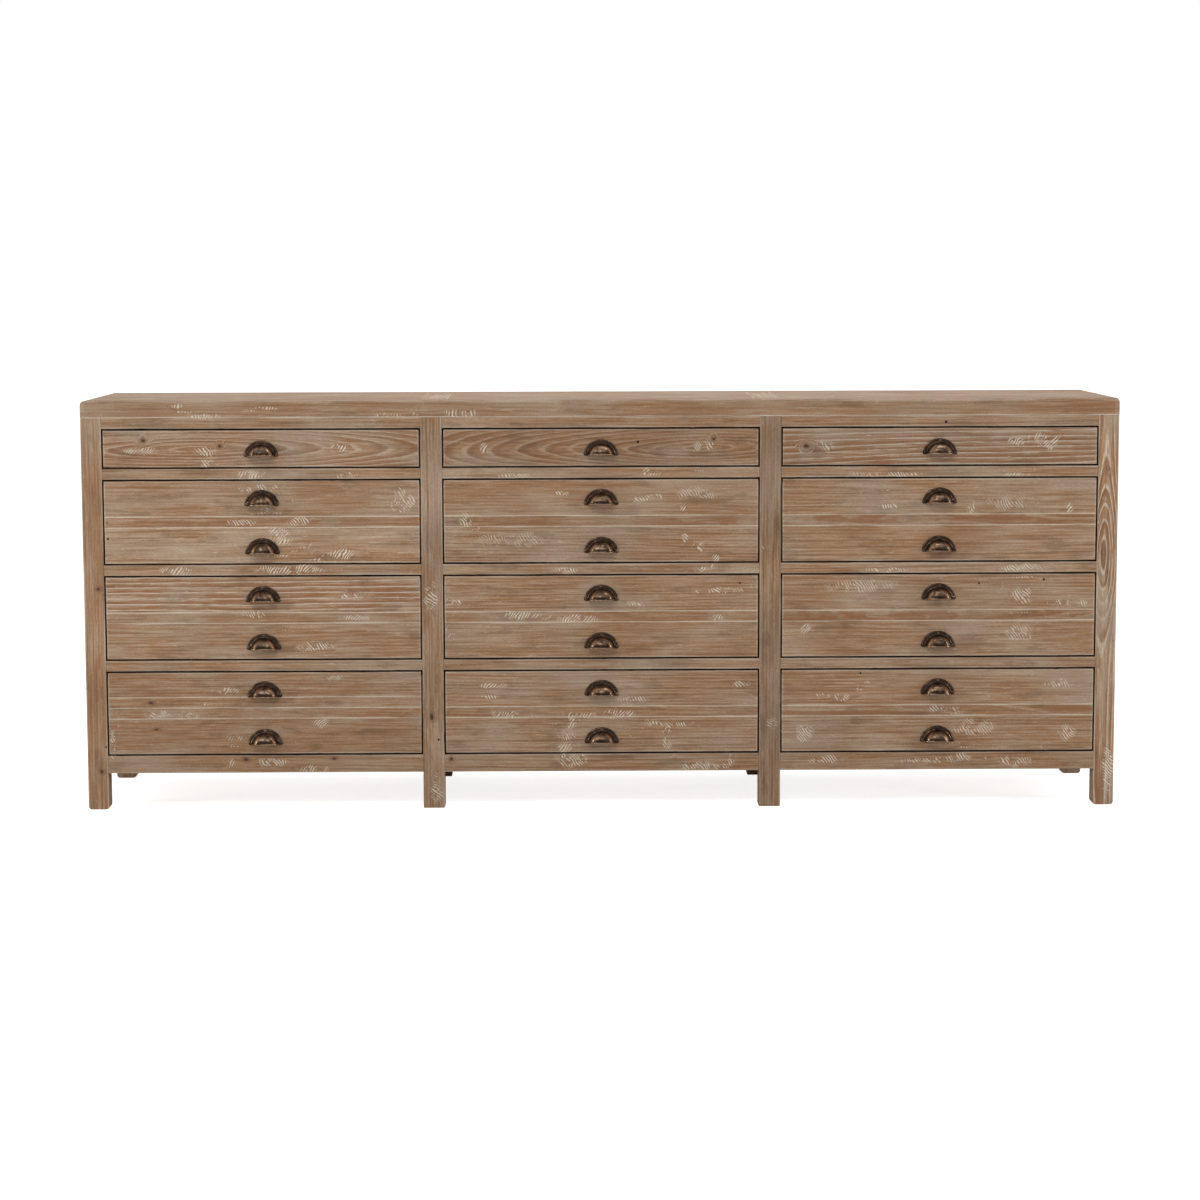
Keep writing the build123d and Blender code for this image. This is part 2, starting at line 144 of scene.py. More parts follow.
# %% Sum of seeded sine waves
def unevenness(u, v, seed, u_wave, v_wave, waves=7):
    """Mean of sin(2 pi (a u / u_wave + b v / v_wave) + phase), a from 0.4 to 1.6, b from -1.6 to 1.6."""
    draw = np.random.default_rng(seed)
    total = np.zeros(np.broadcast(u, v).shape)
    for _ in range(waves):
        a, b, phase = draw.uniform(0.4, 1.6), draw.uniform(-1.6, 1.6), draw.uniform(0, 2 * math.pi)
        total = total + np.sin(2 * math.pi * (a * u / u_wave + b * v / v_wave) + phase)
    return total / waves


print("unevenness at one point:", round(float(unevenness(0.1, 0.2, 1, 0.3, 0.1)), 3))

# %% [markdown]
# ## Marks that sit at known places
#
# The photo shows knots, nail holes and groups of short slanted scrapes filled with lime. Each is a
# row: its place on the front in millimetres, and its half width and half height. A board copies the
# offset from the nearest mark into its vertices, and the shader turns that into a sharp pattern.
# Strokes lean left as they rise, or right where the half width is negative, and a fifth number makes
# a scrape fainter.

# %% Knots and nail holes on the front, as x, z, half width and half height
KNOTS = [
    (-1012, 826, 8, 6), (-843, 814, 5, 5), (-1118, 497, 6, 6), (-1119, 86, 6, 7), (-1006, 241, 7, 4),
    (-796, 112, 10, 7), (-599, 113, 9, 5), (-337, 111, 6, 6), (-380, 206, 5, 11), (250, 826, 6, 5),
    (455, 810, 9, 6), (-995, 181, 9, 3),
]
NAILS = [
    (-1094, 609, 2.6, 2.6), (82, 820, 3.2, 3.2), (765, 862, 3.4, 3.4), (-365, 155, 2.6, 2.6),
    (309, 505, 2.4, 2.4), (842, 502, 2.2, 2.2), (987, 510, 2.8, 2.8), (579, 301, 2.6, 2.6),
    (-1095, 645, 1.8, 1.8), (-1108, 142, 2.2, 2.2),
]

# %% Scrapes on the front, as x, z, half width, half height and strength
SCRAPES = [
    # top edge, then the slim drawers
    (-935, 902, 13, 5), (-883, 879, 31, 5), (-738, 897, -21, 3), (-473, 881, 31, 4), (-312, 884, 41, 7),
    (-1019, 806, -27, 8), (-878, 803, 25, 9), (-876, 772, 7, 5), (-583, 809, -17, 9),
    (-261, 805, -8, 10), (227, 808, 21, 11), (975, 827, -10, 12), (996, 816, -13, 15),
    (1012, 828, -7, 8), (922, 820, -14, 10), (495, 812, 20, 9),
    # rail below them
    (-777, 750, -27, 9), (-566, 748, 21, 6), (-195, 746, 29, 4), (107, 751, -19, 7), (635, 746, 82, 4),
    (922, 744, -22, 4),
    # second row and the rail below it
    (-768, 719, 37, 7), (-736, 673, 16, 4), (-447, 709, 9, 9), (-430, 692, 12, 15), (-458, 680, -8, 13),
    (-438, 670, 9, 6), (-796, 643, 33, 7), (-667, 647, 21, 9), (-714, 614, -24, 15),
    (-581, 574, -39, 8), (-301, 648, 14, 14), (-200, 604, 60, 12, 0.5), (-91, 707, 13, 4),
    (82, 692, 27, 4), (223, 706, 46, 10, 0.7), (183, 674, -6, 8), (187, 607, 6, 8), (221, 585, 6, 8),
    (256, 562, -6, 8), (643, 675, 17, 5), (908, 680, 37, 14, 0.6), (821, 670, 6, 11),
    (1042, 672, -8, 9), (-942, 537, -33, 7), (-679, 539, -70, 8), (-79, 534, 27, 6), (221, 536, -12, 5),
    (629, 533, 44, 5), (939, 536, 39, 7),
    # third row
    (-324, 465, 9, 5), (-186, 434, -40, 8), (-54, 426, -42, 7), (-334, 386, 8, 7), (-378, 474, 14, 31),
    (204, 486, 5, 4), (272, 488, 32, 6), (262, 428, -11, 6), (73, 458, 14, 6), (582, 497, 81, 11, 0.7),
    (455, 402, -10, 8), (928, 480, 10, 14), (947, 471, 13, 15), (1023, 459, 8, 5), (1072, 458, 12, 8),
    (934, 392, 30, 15, 0.7), (363, 584, 6, 3), (-560, 478, 22, 6), (-640, 366, 40, 8),
    (-770, 440, 40, 6), (-560, 430, -30, 6),
    # fourth row
    (-847, 268, -25, 6), (-993, 216, 25, 9), (-912, 213, -12, 7), (-627, 192, -17, 9),
    (-813, 161, -20, 7), (-594, 295, 15, 7), (-1093, 154, 5, 26), (-244, 276, -32, 5),
    (-254, 251, 16, 5), (-210, 210, -40, 7), (-68, 194, -8, 16), (-33, 209, -13, 5), (-76, 163, 16, 8),
    (-80, 134, -22, 10), (35, 211, -35, 9), (134, 188, 44, 5), (147, 146, 8, 12), (76, 245, 32, 5),
    (315, 278, 17, 5), (380, 186, 10, 10), (492, 253, 10, 4), (535, 247, 17, 7), (454, 166, 17, 18),
    (595, 280, 8, 4), (760, 220, 31, 6), (831, 178, 39, 15, 0.8), (1041, 165, 23, 16),
    (1023, 275, 23, 10),
    # bottom rail and feet
    (-829, 104, -13, 11), (-733, 106, 28, 9), (-639, 89, -28, 8), (-70, 107, 33, 11), (219, 91, 44, 8),
    (289, 103, 10, 14), (505, 107, 40, 7), (732, 103, 45, 5), (805, 110, 24, 9), (930, 101, 29, 10),
    (1137, 75, 12, 55), (-371, 40, 10, 26),
]
MARKS = (KNOTS, NAILS, SCRAPES)
NO_MARKS = ((), (), ())
print("marks:", len(KNOTS), len(NAILS), len(SCRAPES))

# %% [markdown]
# ## One board
#
# Every board is the same kind of surface: a rounded rectangle carried along the grain. The loop has
# extra points just inside each corner, so that wear can fade there, and the corners' radius changes
# along the board as it does on an old edge. The vertices keep where they are in the board's own
# wood, so that one material can draw the grain along any board.


# %% Work out a board's loop
QUARTER = np.linspace(0, math.pi / 2, 5)
GUARDS, CLEAR = np.array([0.9, 3.2]) * MM, 6 * MM


def loop_points(width, depth, step):
    """Points of a rounded rectangle as constants plus shares of the four corner radii.

    Corners run from the face's near edge to its far edge, then the back's far and near edge. On an
    arc, v = V + s r (1 - cos t) and w = W + s r (1 - sin t), with s pointing into the board. Each
    row holds V, W, four shares for v and four for w. Each kind is a corner and how worn it is there.
    """
    rows, kinds = [], []
    corners = ((0, 0, 1, 1), (width, 0, -1, 1), (width, depth, -1, -1), (0, depth, 1, -1))
    for k, (corner_v, corner_w, sv, sw) in enumerate(corners):
        run, following, sign = k % 2, (k + 1) % 4, 1 if k < 2 else -1
        length = (width, depth)[run]
        base = np.zeros(10)
        base[:2] = corner_v, corner_w
        for t in (QUARTER, QUARTER[::-1])[run]:
            row = base.copy()
            row[2 + k], row[6 + k] = sv * (1 - math.cos(t)), sw * (1 - math.sin(t))
            rows.append(row)
            kinds.append((k, 1.0))
        count = max(2, int(length / step))
        inner = np.arange(1, count) / count * length
        inner = inner[(inner > CLEAR) & (inner < length - CLEAR)]
        places = [(near, 0, k, 1 - i) for i, near in enumerate(GUARDS)]
        places += [(p, p / length, k, 0) for p in inner]
        places += [(length - far, 1, following, i) for i, far in enumerate(GUARDS[::-1])]
        for place, share, corner, worn in places:
            row = base.copy()
            row[run] += sign * place
            row[2 + 4 * run + k], row[2 + 4 * run + following] = sign * (1 - share), -sign * share
            rows.append(row)
            kinds.append((corner, worn))
    return np.array(rows), kinds


print("points round a 30 by 20 mm loop:", len(loop_points(30 * MM, 20 * MM, 8 * MM)[0]))


# %% Offsets from the nearest mark
def offsets(x, z, marks):
    """(x - mark x) / half width and (z - mark z) / half height of the nearest mark, and a soft mask.

    The mask falls from the mark's strength to 0 between 1.6 times its larger half size plus 8 mm and
    2.4 times that half size plus 20 mm. It is negative where the half width is.
    """
    if not marks:
        return np.zeros((*x.shape, 3))
    rows = np.array([(*mark, 1)[:5] for mark in marks]) * (MM, MM, MM, MM, 1)
    rows[:, 4] *= np.sign(rows[:, 2])
    rows[:, 2] = np.abs(rows[:, 2])
    away = np.stack([np.hypot((x - r[0]) / r[2], (z - r[1]) / r[3]) for r in rows])
    mark_x, mark_z, half_width, half_height, strength = np.moveaxis(rows[away.argmin(0)], -1, 0)
    dx, dz, size = x - mark_x, z - mark_z, np.maximum(half_width, half_height)
    beyond = (np.hypot(dx, dz) - 1.6 * size - 8 * MM) / (0.8 * size + 12 * MM)
    mask = (1 - np.clip(beyond, 0, 1)) * strength
    return np.stack([dx / half_width, dz / half_height, mask], -1)


# %% Stations along a board
ALL, FACE_ONLY, ACROSS_ONLY = "all", "face", "across"


def stations(length, ends, step):
    """Places along the board: each end is a quarter circle, u = e (1 - cos t) with inset e (1 - sin t)."""
    start, finish = ends[0][0], ends[1][0]
    closer, shorter = 1 - np.cos(QUARTER), 1 - np.sin(QUARTER)
    inner = np.linspace(0, length, max(3, int(length / step)))
    inner = inner[(inner > start + CLEAR) & (inner < length - finish - CLEAR)]
    far_guards, far_end = length - finish - GUARDS[::-1], length - finish * closer[::-1]
    u = np.concatenate([start * closer, start + GUARDS, inner, far_guards, far_end])
    insets, worn = np.zeros((2, len(u))), np.zeros(len(u))
    insets[0, :5], insets[1, -5:] = start * shorter, finish * shorter[::-1]
    worn[:6], worn[-6:] = 1, 1
    return u, insets, worn


print("stations along 700 mm:", len(stations(0.7, ((0.001, ALL), (0.001, ALL)), 9 * MM)[0]))


# %% Turn faces outwards
def facing_out(flat, quads, caps):
    """The same faces, turned round where the volume that they enclose comes out below zero."""
    p, q, r, s = (flat[quads[:, k]] - flat.mean(0) for k in range(4))
    volume = np.einsum("ij,ij->", np.cross(p, q), r) + np.einsum("ij,ij->", np.cross(p, r), s)
    return (quads[:, ::-1], [cap[::-1] for cap in caps]) if volume < 0 else (quads, caps)


# %% [markdown]
# ## How a board was cut
#
# A pine log grows one ring a year round its pith. A board cut beside the pith shows straight lines,
# one cut across the rings shows arches, and one whose log bows shows closed ovals. So each cut is a
# line of pith behind the board: how far to the side, how deep, how it slants and bows along the
# board, and how far apart the rings are.

# %% Cuts: side and depth of the pith, skew, slope, ring spacing, contrast and bow, lengths in mm
CUTS = {
    "straight": (120, 45, 0.004, 0.008, 6.6, 0.65, 0),
    "bold": (150, 25, 0.02, 0.02, 13.5, 1.4, 0),
    "arched": (4, 16, 0.004, 0.085, 6.4, 1.1, 0),
    "oval": (2, 7, 0.0, 0.0, 4.8, 1.3, 26),
    "broad": (120, 30, 0.05, 0.02, 27.0, 1.2, 0),
    "soft": (85, 60, 0.008, 0.012, 5.8, 0.48, 0),
}


def cut_of(name, seed):
    """The named cut, with the pith moved by up to 9 mm, slope by a third and ring spacing by a tenth.

    Side and slope go either way, and skew anywhere up to 1.3 times its value.
    """
    draw = np.random.default_rng(seed + 5000)
    pith_v, pith_w, skew, slope, spacing, contrast, bow = CUTS[name]
    side = draw.choice((-1, 1))
    return (
        side * (pith_v + draw.uniform(-9, 9)), pith_w + draw.uniform(-4, 9),
        skew * draw.uniform(-1.3, 1.3), slope * draw.choice((-1, 1)) * draw.uniform(0.7, 1.3),
        spacing * draw.uniform(0.9, 1.1), contrast, bow,
    )


print("cuts:", ", ".join(CUTS))

# %% Work out a board's surface
NICKS = 6
BOW_REACH = 130 * MM


def board(low, high, along, face, seed, **wood):
    """One board between two corners, as vertices, quads, end loops and the values on its vertices.

    Along is the axis of the grain, and face is the axis and sign of its best side. Wood may hold, in
    mm: radius, the corners' rounding; ends, each end's rounding and which way it goes; bow_place, the
    middle of an oval; grid, the step; wave, the hollow. It may hold shares: worn and seam, how pale or
    limed each corner is; waxed, how much painted shade darkens its near and far side just behind
    the face, where the gaps are in shadow; tone, of lightness, russet and lime; sway, how much that
    varies. Cut is a name in CUTS. Ring places, with u and v from the middle, are across = v - pith
    side + skew u, and down = w + pith depth + slope u + bow (1 - e to the minus (u - place)^2 / reach^2).
    """
    radius = np.array(wood.get("radius", (1.0, 1.0, 1.0, 1.0))) * MM
    ends = [(size * MM, way) for size, way in wood.get("ends", ((0.2, ALL), (0.2, ALL)))]
    draw = np.random.default_rng(seed)
    a = "xyz".index(along)
    f, sign = "xyz".index(face[1]), (1 if face[0] == "+" else -1)
    c = 3 - a - f
    low, high = np.array(low, float), np.array(high, float)
    length, width, depth = (high - low)[[a, c, f]]
    step = wood.get("grid", 9) * MM
    rows, kinds = loop_points(width, depth, step)
    u, insets, end_worn = stations(length, ends, step)

    corner = np.stack([radius[k] * (1 + 0.3 * unevenness(u, 0, seed + k, 0.16, 1)) for k in range(4)], 1)
    nick_places, nick_reaches = draw.uniform(0, length, NICKS), draw.uniform(2, 7, NICKS) * MM
    for place, reach, bite in zip(nick_places, nick_reaches, draw.uniform(0, 0.9, (NICKS, 4)) * MM):
        near = np.exp(-(((u - place) / reach) ** 2))[:, None]
        corner += near * bite * (radius > 0.9 * MM)
    v = rows[:, 0] + corner @ rows[:, 2:6].T
    w = rows[:, 1] + corner @ rows[:, 6:10].T
    hollow = (1 + unevenness(u[:, None], v, seed + 9, 0.35, 0.08)) * wood.get("wave", 0.14) * MM
    w = w + hollow * (1 - w / depth)
    for (_, way), inset in zip(ends, insets[..., None]):
        if way in (ALL, ACROSS_ONLY):
            v = width / 2 + (v - width / 2) * (1 - 2 * inset / width)
        if way == ALL:
            w = depth / 2 + (w - depth / 2) * (1 - 2 * inset / depth)
        if way == FACE_ONLY:
            w = inset + w * (1 - inset / depth)
    along_u = np.broadcast_to(u[:, None], v.shape)
    place = np.zeros((*v.shape, 3))
    place[..., a] = low[a] + along_u
    place[..., c] = low[c] + v
    place[..., f] = low[f] + w if sign < 0 else high[f] - w

    index = np.arange(v.size).reshape(v.shape)
    around = np.roll(index, -1, 1)
    quads = np.stack([index[:-1], index[1:], around[1:], around[:-1]], -1).reshape(-1, 4)
    flat = place.reshape(-1, 3)
    quads, caps = facing_out(flat, quads, [index[0], index[-1][::-1]])

    start = draw.uniform(0, 40, 3)
    pith_v, pith_w, skew, slope, spacing, contrast, bow = cut_of(wood.get("cut", "soft"), seed)
    run = along_u - length / 2
    bow_run = (along_u - wood.get("bow_place", length / MM / 2) * MM) / BOW_REACH
    across = v - width / 2 - pith_v * MM + skew * run
    down = w + pith_w * MM + slope * run + bow * MM * (1 - np.exp(-(bow_run**2)))
    tone = wood.get("tone", (1.0, 0.25, 0.5))
    sway = wood.get("sway", 0.07) * unevenness(along_u, v, seed + 40, 0.3, 0.4)
    zero = np.zeros_like(v)
    worn, seam = (
        np.array([wood.get(key, usual)[k] * amount for k, amount in kinds]) + zero
        for key, usual in (("worn", (1, 1, 1, 1)), ("seam", (0, 0, 0, 0)))
    )
    ends_worn = (wood.get("ends_worn", 0) * end_worn)[:, None]
    # Painted shade: the near and far sides listed here are darkened just behind the face, where the gaps are
    # in shadow
    waxed = np.array([wood.get("waxed", (0, 0))[k in (1, 2)] for k, _ in kinds])
    x, z = place[..., 0], place[..., 2]
    knots, nails, scrapes = wood.get("marks", NO_MARKS)
    values = {
        "inside": np.stack([w / MM, waxed * (z > RAIL_LEVELS[0][0] * MM), zero], -1),
        "grain": np.stack([along_u + start[0], v + start[1], w + start[2]], -1),
        "rings": np.stack([across, down, zero], -1) / (spacing * MM),
        "tone": np.stack([tone[0] * (1 + sway), tone[1] - 2.5 * sway, tone[2] + sway], -1),
        "edge": np.stack([np.maximum(worn, ends_worn), seam, contrast + zero], -1),
        "knot": offsets(x, z, knots),
        "nail": offsets(x, z, nails),
        "scrape": offsets(x, z, scrapes),
    }
    return flat, quads, caps, {key: value.reshape(-1, 3) for key, value in values.items()}


print("vertices of one plank:", len(board((0, 0, 0), (0.7, 0.02, 0.08), "x", "-y", 1)[0]))


# %% Gather surfaces into one piece
def gather(name, surfaces, body, node, material):
    """One mesh object from several surfaces. It rides on a body and stands for one CAD node."""
    places, _, _, values = zip(*surfaces)
    faces, count = [], 0
    for flat, quads, caps, _ in surfaces:
        faces += (quads + count).tolist() + [(cap + count).tolist() for cap in caps]
        count += len(flat)
    mesh = bpy.data.meshes.new(name)
    mesh.from_pydata(np.concatenate(places).tolist(), [], faces)
    for key in values[0]:
        data = np.concatenate([value[key] for value in values]).astype(np.float32)
        mesh.attributes.new(key, "FLOAT_VECTOR", "POINT").data.foreach_set("vector", data.ravel())
    mesh.polygons.foreach_set("use_smooth", np.ones(len(faces), bool))
    mesh.set_sharp_from_angle(angle=math.radians(50))
    mesh.materials.append(material)
    made = bpy.data.objects.new(name, mesh)
    bpy.context.scene.collection.objects.link(made)
    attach(made, body)
    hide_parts(node)
    return made


# %% [markdown]
# ## Limed pine: what the wood is
#
# Pine shows wide yearly rings: soft pale early wood and hard brown late wood. Brushing wears the soft
# wood lower and lime wash stays in it, so a line of lime runs beside each brown ridge. The surface
# scatters light and has almost no gloss. We build one material in steps, because each step is a
# thing that happened to the wood: it grew, it was brushed, limed, knocked and worn.

# %% Start limed pine and read what each vertex knows
PALE_WOOD, BROWN_WOOD, UMBER = "#9b7d60", "#6a4a33", "#634732"
RUSSET, HONEY, HAZE, LIME, SCRAPED = "#8b6040", "#946a42", "#a59480", "#b9a895", "#d4c8b6"
# GAP_SHADE is a painted shade colour for the inside of the gaps round the drawers
KNOT_HEART, NAIL_HOLE, GAP_SHADE = "#4c3122", "#1c120d", "#150e0a"
PINE, put = new_material("limed pine")
grain, rings, knot, nail, scrape, tone, edge, inside = (
    put("Attribute", attribute_name=name).outputs["Vector"]
    for name in ("grain", "rings", "knot", "nail", "scrape", "tone", "edge", "inside")
)
lightness, russet_share, lime_share = put("SeparateXYZ", tone).outputs
worn_edge, seam, contrast = put("SeparateXYZ", edge).outputs
knot_x, knot_z, near_knot = put("SeparateXYZ", knot).outputs
nail_x, nail_z, near_nail = put("SeparateXYZ", nail).outputs
scrape_x, scrape_z, leaning = put("SeparateXYZ", scrape).outputs
depth_in, waxed, _ = put("SeparateXYZ", inside).outputs
print("nodes that read the wood:", len(PINE.node_tree.nodes))

# %% [markdown]
# ## Fibres, streaks and blotches
#
# All are noise, squeezed across the grain and stretched along it. Streaks 6 mm wide and 14 cm long
# are what the eye reads as grain from across a room. Blotches as large as a hand are where lime
# soaked in unevenly, with smaller patches between. Real fibres and pores are finer than these, which
# are as coarse as it takes to show in a picture of the whole chest.

# %% Noise along the grain, as cells a metre along and across it, detail and roughness
NOISES = {
    "wander": (1.7, 9, 1, 0.5), "wiggle": (7, 60, 2, 0.5), "fibre": (24, 380, 1, 0.5),
    "streak": (7, 170, 3, 0.55), "blotch": (4.6, 13, 3, 0.5), "patch": (11, 34, 3, 0.55),
    "fleck": (52, 230, 1, 0.5), "pore": (190, 420, 1, 0.5), "wobble": (40, 46, 1, 0.5),
    "broken": (62, 62, 2, 0.7), "ragged": (34, 40, 2, 0.5),
}
wander, wiggle, fibre, streak, blotch, patch, fleck, pore, wobble, broken, ragged = (
    put("TexNoise", put("VectorMath", grain, (along, across, across), **TIMES), 1.0, detail, rough)
    for along, across, detail, rough in NOISES.values()
)
print({name: f"{1000 / row[0]:.0f} by {1000 / row[1]:.1f} mm" for name, row in NOISES.items()})

# %% [markdown]
# ## Rings
#
# The rings are real cylinders round the pith line. They wander by a ring or two over half a metre,
# wiggle a little over a few centimetres, and swell round each knot. The whole part of the count is
# the year, which makes some years darker, and the rest is how far the year has gone.

# %% Yearly rings
off_centre = put("VectorMath", wander.outputs["Color"], (0.5, 0.5, 0.5), operation="SUBTRACT")
bent = put("VectorMath", off_centre, (2.6, 2.6, 0.0), rings, **TIMES_PLUS)
count = put("Math", wiggle, 0.4, put("VectorMath", bent, **LENGTH), **TIMES_PLUS)
knot_away = put("VectorMath", put("CombineXYZ", knot_x, knot_z), **LENGTH)
swell = put("MapRange", knot_away, 0.4, 3.0, 2.6, 0.0, **SMOOTH)
count = put("Math", swell, near_knot, count, **TIMES_PLUS)
within = put("Math", count, operation="FRACT")
year = put("TexWhiteNoise", put("Math", count, operation="FLOOR"), noise_dimensions="1D")
late = put("MapRange", within, 0.42, 0.78, **SMOOTH)
for share in (
    put("MapRange", within, 0.88, 1.0, 1.0, 0.0, **SMOOTH),
    put("MapRange", year, 0.0, 1.0, 0.15, 1.15), contrast,
):
    late = put("Math", late, share, **TIMES)
groove = put("Math", put("MapRange", within, 0.1, 0.3, 1.0, 0.0, **SMOOTH), contrast, **TIMES)
print(len(PINE.node_tree.nodes), "nodes so far")

# %% [markdown]
# ## Colour of the wood
#
# Over pale early wood lie layers of colour, each with its share, which the last step mixes in this
# order: honey where the wood is resinous, brown late wood, umber streaks, russet heartwood, lime in
# the pores and beside the ridges, umber patches, a haze of lime on whole blotches, and pale flecks.

# %% Layers of colour in the wood
late_colour = put("Mix", russet_share, colour(BROWN_WOOD), colour(RUSSET), **RGBA)
pores = put("Math", fibre, 0.35, put("Math", streak, 0.65, **TIMES), **TIMES_PLUS)
chalk = put("Math", groove, put("MapRange", fibre, 0.34, 0.5, 0.3, 1.0, **SMOOTH), **TIMES)
lime = put("Math", put("MapRange", pores, 0.43, 0.68, 0.0, 0.78, **SMOOTH), chalk, operation="MAXIMUM")
lime = put("Math", lime, put("MapRange", late, 0.0, 0.7, 1.0, 0.35, **SMOOTH), **TIMES)
lime = put("Math", lime, lime_share, use_clamp=True, **TIMES)
russet = put("MapRange", patch, 0.48, 0.54, 0.0, 0.85, **SMOOTH)
hazy = put("MapRange", blotch, 0.5, 0.34, 0.0, 0.65, **SMOOTH)
flecked = put("MapRange", fleck, 0.66, 0.78, 0.0, 0.35, **SMOOTH)
layers = [
    (put("MapRange", blotch, 0.46, 0.6, 0.0, 0.7, **SMOOTH), colour(HONEY)),
    (put("Math", late, 0.75, **TIMES), late_colour),
    (put("MapRange", streak, 0.54, 0.33, 0.0, 0.32, **SMOOTH), colour(UMBER)),
    (put("Math", russet, russet_share, **TIMES), colour(RUSSET)),
    (lime, colour(LIME)),
    (put("MapRange", patch, 0.46, 0.3, 0.0, 0.4, **SMOOTH), colour(UMBER)),
    (put("Math", hazy, lime_share, **TIMES), colour(HAZE)),
    (put("Math", flecked, lime_share, **TIMES), colour(SCRAPED)),
]
print("layers in the wood:", len(layers))

# %% [markdown]
# ## Knots, worn edges and seams
#
# A knot is a dark heart in a brown halo. Worn outer edges are pale, and lime fills the seams between
# glued planks, where the photo shows fine white lines. Painted shade darkens the wood just inside the
# gaps round the drawers, where shadow falls: full from 0.7 to 5 mm behind the face.

# %% Knots, edges and seams
rough_knot = put("Math", patch, 0.9, knot_away, **TIMES_PLUS)
halo = put("MapRange", rough_knot, 1.0, 2.3, 0.55, 0.0, **SMOOTH)
heart = put("MapRange", rough_knot, 0.75, 1.25, 1.0, 0.0, **SMOOTH)
worn = put("MapRange", streak, 0.36, 0.6, 0.1, 0.5, **SMOOTH)
filled = put("MapRange", streak, 0.3, 0.6, 0.15, 0.64, **SMOOTH)
# Painted shade in the gaps: darker colour from 0.7 to 5 mm behind the face, down to a fifth by 12 mm
wax = put("MapRange", depth_in, 5.0, 12.0, 1.0, 0.2, **SMOOTH)
wax = put("Math", wax, put("MapRange", depth_in, 0.15, 0.7, **SMOOTH), **TIMES)
seamed = put("MapRange", seam, 0.86, 1.0)
for share, where, paint in (
    (halo, near_knot, BROWN_WOOD), (heart, near_knot, KNOT_HEART), (worn, worn_edge, LIME),
    (filled, seamed, SCRAPED), (wax, waxed, GAP_SHADE),
):
    layers.append((put("Math", share, where, **TIMES), colour(paint)))
print("layers with knots and edges:", len(layers))

# %% [markdown]
# ## Scrapes and nail holes
#
# A scrape is a group of short strokes full of lime, 7 mm apart along the grain and leaning by 36
# degrees, broken up by noise, inside an oval with a ragged rim. A nail hole is a small dark disc.

# %% Scrapes and nail holes
STROKES_A_METRE, LEAN = 145.0, 105.0
along_grain, over_grain, _ = put("SeparateXYZ", grain).outputs
slant = put("Math", put("Math", leaning, operation="SIGN"), LEAN, **TIMES)
slant = put("Math", over_grain, slant, **TIMES)
strokes = put("Math", along_grain, STROKES_A_METRE, slant, **TIMES_PLUS)
strokes = put("Math", wobble, 2.6, strokes, **TIMES_PLUS)
from_middle = put("Math", put("Math", strokes, operation="FRACT"), 0.5, operation="SUBTRACT")
from_middle = put("Math", from_middle, operation="ABSOLUTE")
rim = put("VectorMath", put("CombineXYZ", scrape_x, scrape_z), **LENGTH)
rim = put("Math", ragged, 2.6, rim, **TIMES_PLUS)
scraped = put("Math", leaning, operation="ABSOLUTE")
for share in (
    put("MapRange", from_middle, 0.17, 0.3, 1.0, 0.0, **SMOOTH),
    put("MapRange", broken, 0.38, 0.52, **SMOOTH),
    put("MapRange", rim, 1.95, 2.7, 1.0, 0.0, **SMOOTH),
):
    scraped = put("Math", scraped, share, **TIMES)
nail_away = put("VectorMath", put("CombineXYZ", nail_x, nail_z), **LENGTH)
nailed = put("MapRange", nail_away, 0.75, 1.1, 1.0, 0.0, **SMOOTH)
nailed = put("Math", nailed, near_nail, **TIMES)
layers += [(put("Math", scraped, 0.8, **TIMES), colour(SCRAPED)), (nailed, colour(NAIL_HOLE))]
print("layers with scrapes and nail holes:", len(layers))

# %% [markdown]
# ## Relief and finish
#
# The height is in millimetres: late wood stands 0.16 mm proud, strokes are scratched 0.3 mm deep and
# nail holes a full millimetre. Pores are a tenth lighter or darker. Lime is rougher than bare wood.

# %% Finish limed pine
shade = colour(PALE_WOOD)
for share, paint in layers:
    shade = put("Mix", share, shade, paint, **RGBA)
bright = put("Math", put("MapRange", pore, 0.28, 0.72, 0.9, 1.1), lightness, **TIMES)
bright = put("CombineColor", bright, bright, bright)
shade = put("Mix", 1.0, shade, bright, blend_type="MULTIPLY", **RGBA)
height = put("Math", fibre, 0.12, put("Math", late, 0.16, **TIMES), **TIMES_PLUS)
for share, deep in ((scraped, -0.3), (nailed, -1.0)):
    height = put("Math", share, deep, height, **TIMES_PLUS)
put("OutputMaterial", put("BsdfPrincipled", {
    "Base Color": shade,
    "Roughness": put("MapRange", lime, 0.0, 1.0, 0.62, 0.8),
    "Normal": put("Bump", {"Strength": 0.8, "Distance": MM, "Height": height}),
    "IOR": 1.48,
    "Specular IOR Level": 0.35,
}))
print(len(PINE.node_tree.nodes), "nodes")

# %% [markdown]
# ## Planed pine for the insides
#
# Drawer boxes, runners and partitions are plain planed pine, never limed. These CAD pieces stay as
# they are, so their grain comes from Object coordinates: along Y on faces that look left or right,
# and along X on the others. Its lines are 10 mm apart. Planing gives a slight sheen.

# %% Planed pine
INNER_PINE, put = new_material("planed pine")
place = put("TexCoord").outputs["Object"]
x, y, z = put("SeparateXYZ", place).outputs
facing_x, _, _ = put("SeparateXYZ", put("NewGeometry").outputs["True Normal"]).outputs
sideways = put("Math", put("Math", facing_x, operation="ABSOLUTE"), 0.6, operation="GREATER_THAN")
turned = put("Mix", sideways, place, put("CombineXYZ", y, x, z), data_type="VECTOR")
lines = put("TexNoise", put("VectorMath", turned, (3, 95, 95), **TIMES), 1.0, 3.0, 0.6)
clouds = put("TexNoise", put("VectorMath", turned, (3, 12, 12), **TIMES), 1.0, 2.0)
shade = colour("#b8936a")
for share, paint in (
    (put("MapRange", lines, 0.42, 0.64, **SMOOTH), "#94704b"),
    (put("MapRange", clouds, 0.35, 0.7, 0.0, 0.45), "#a07a52"),
):
    shade = put("Mix", share, shade, colour(paint), **RGBA)
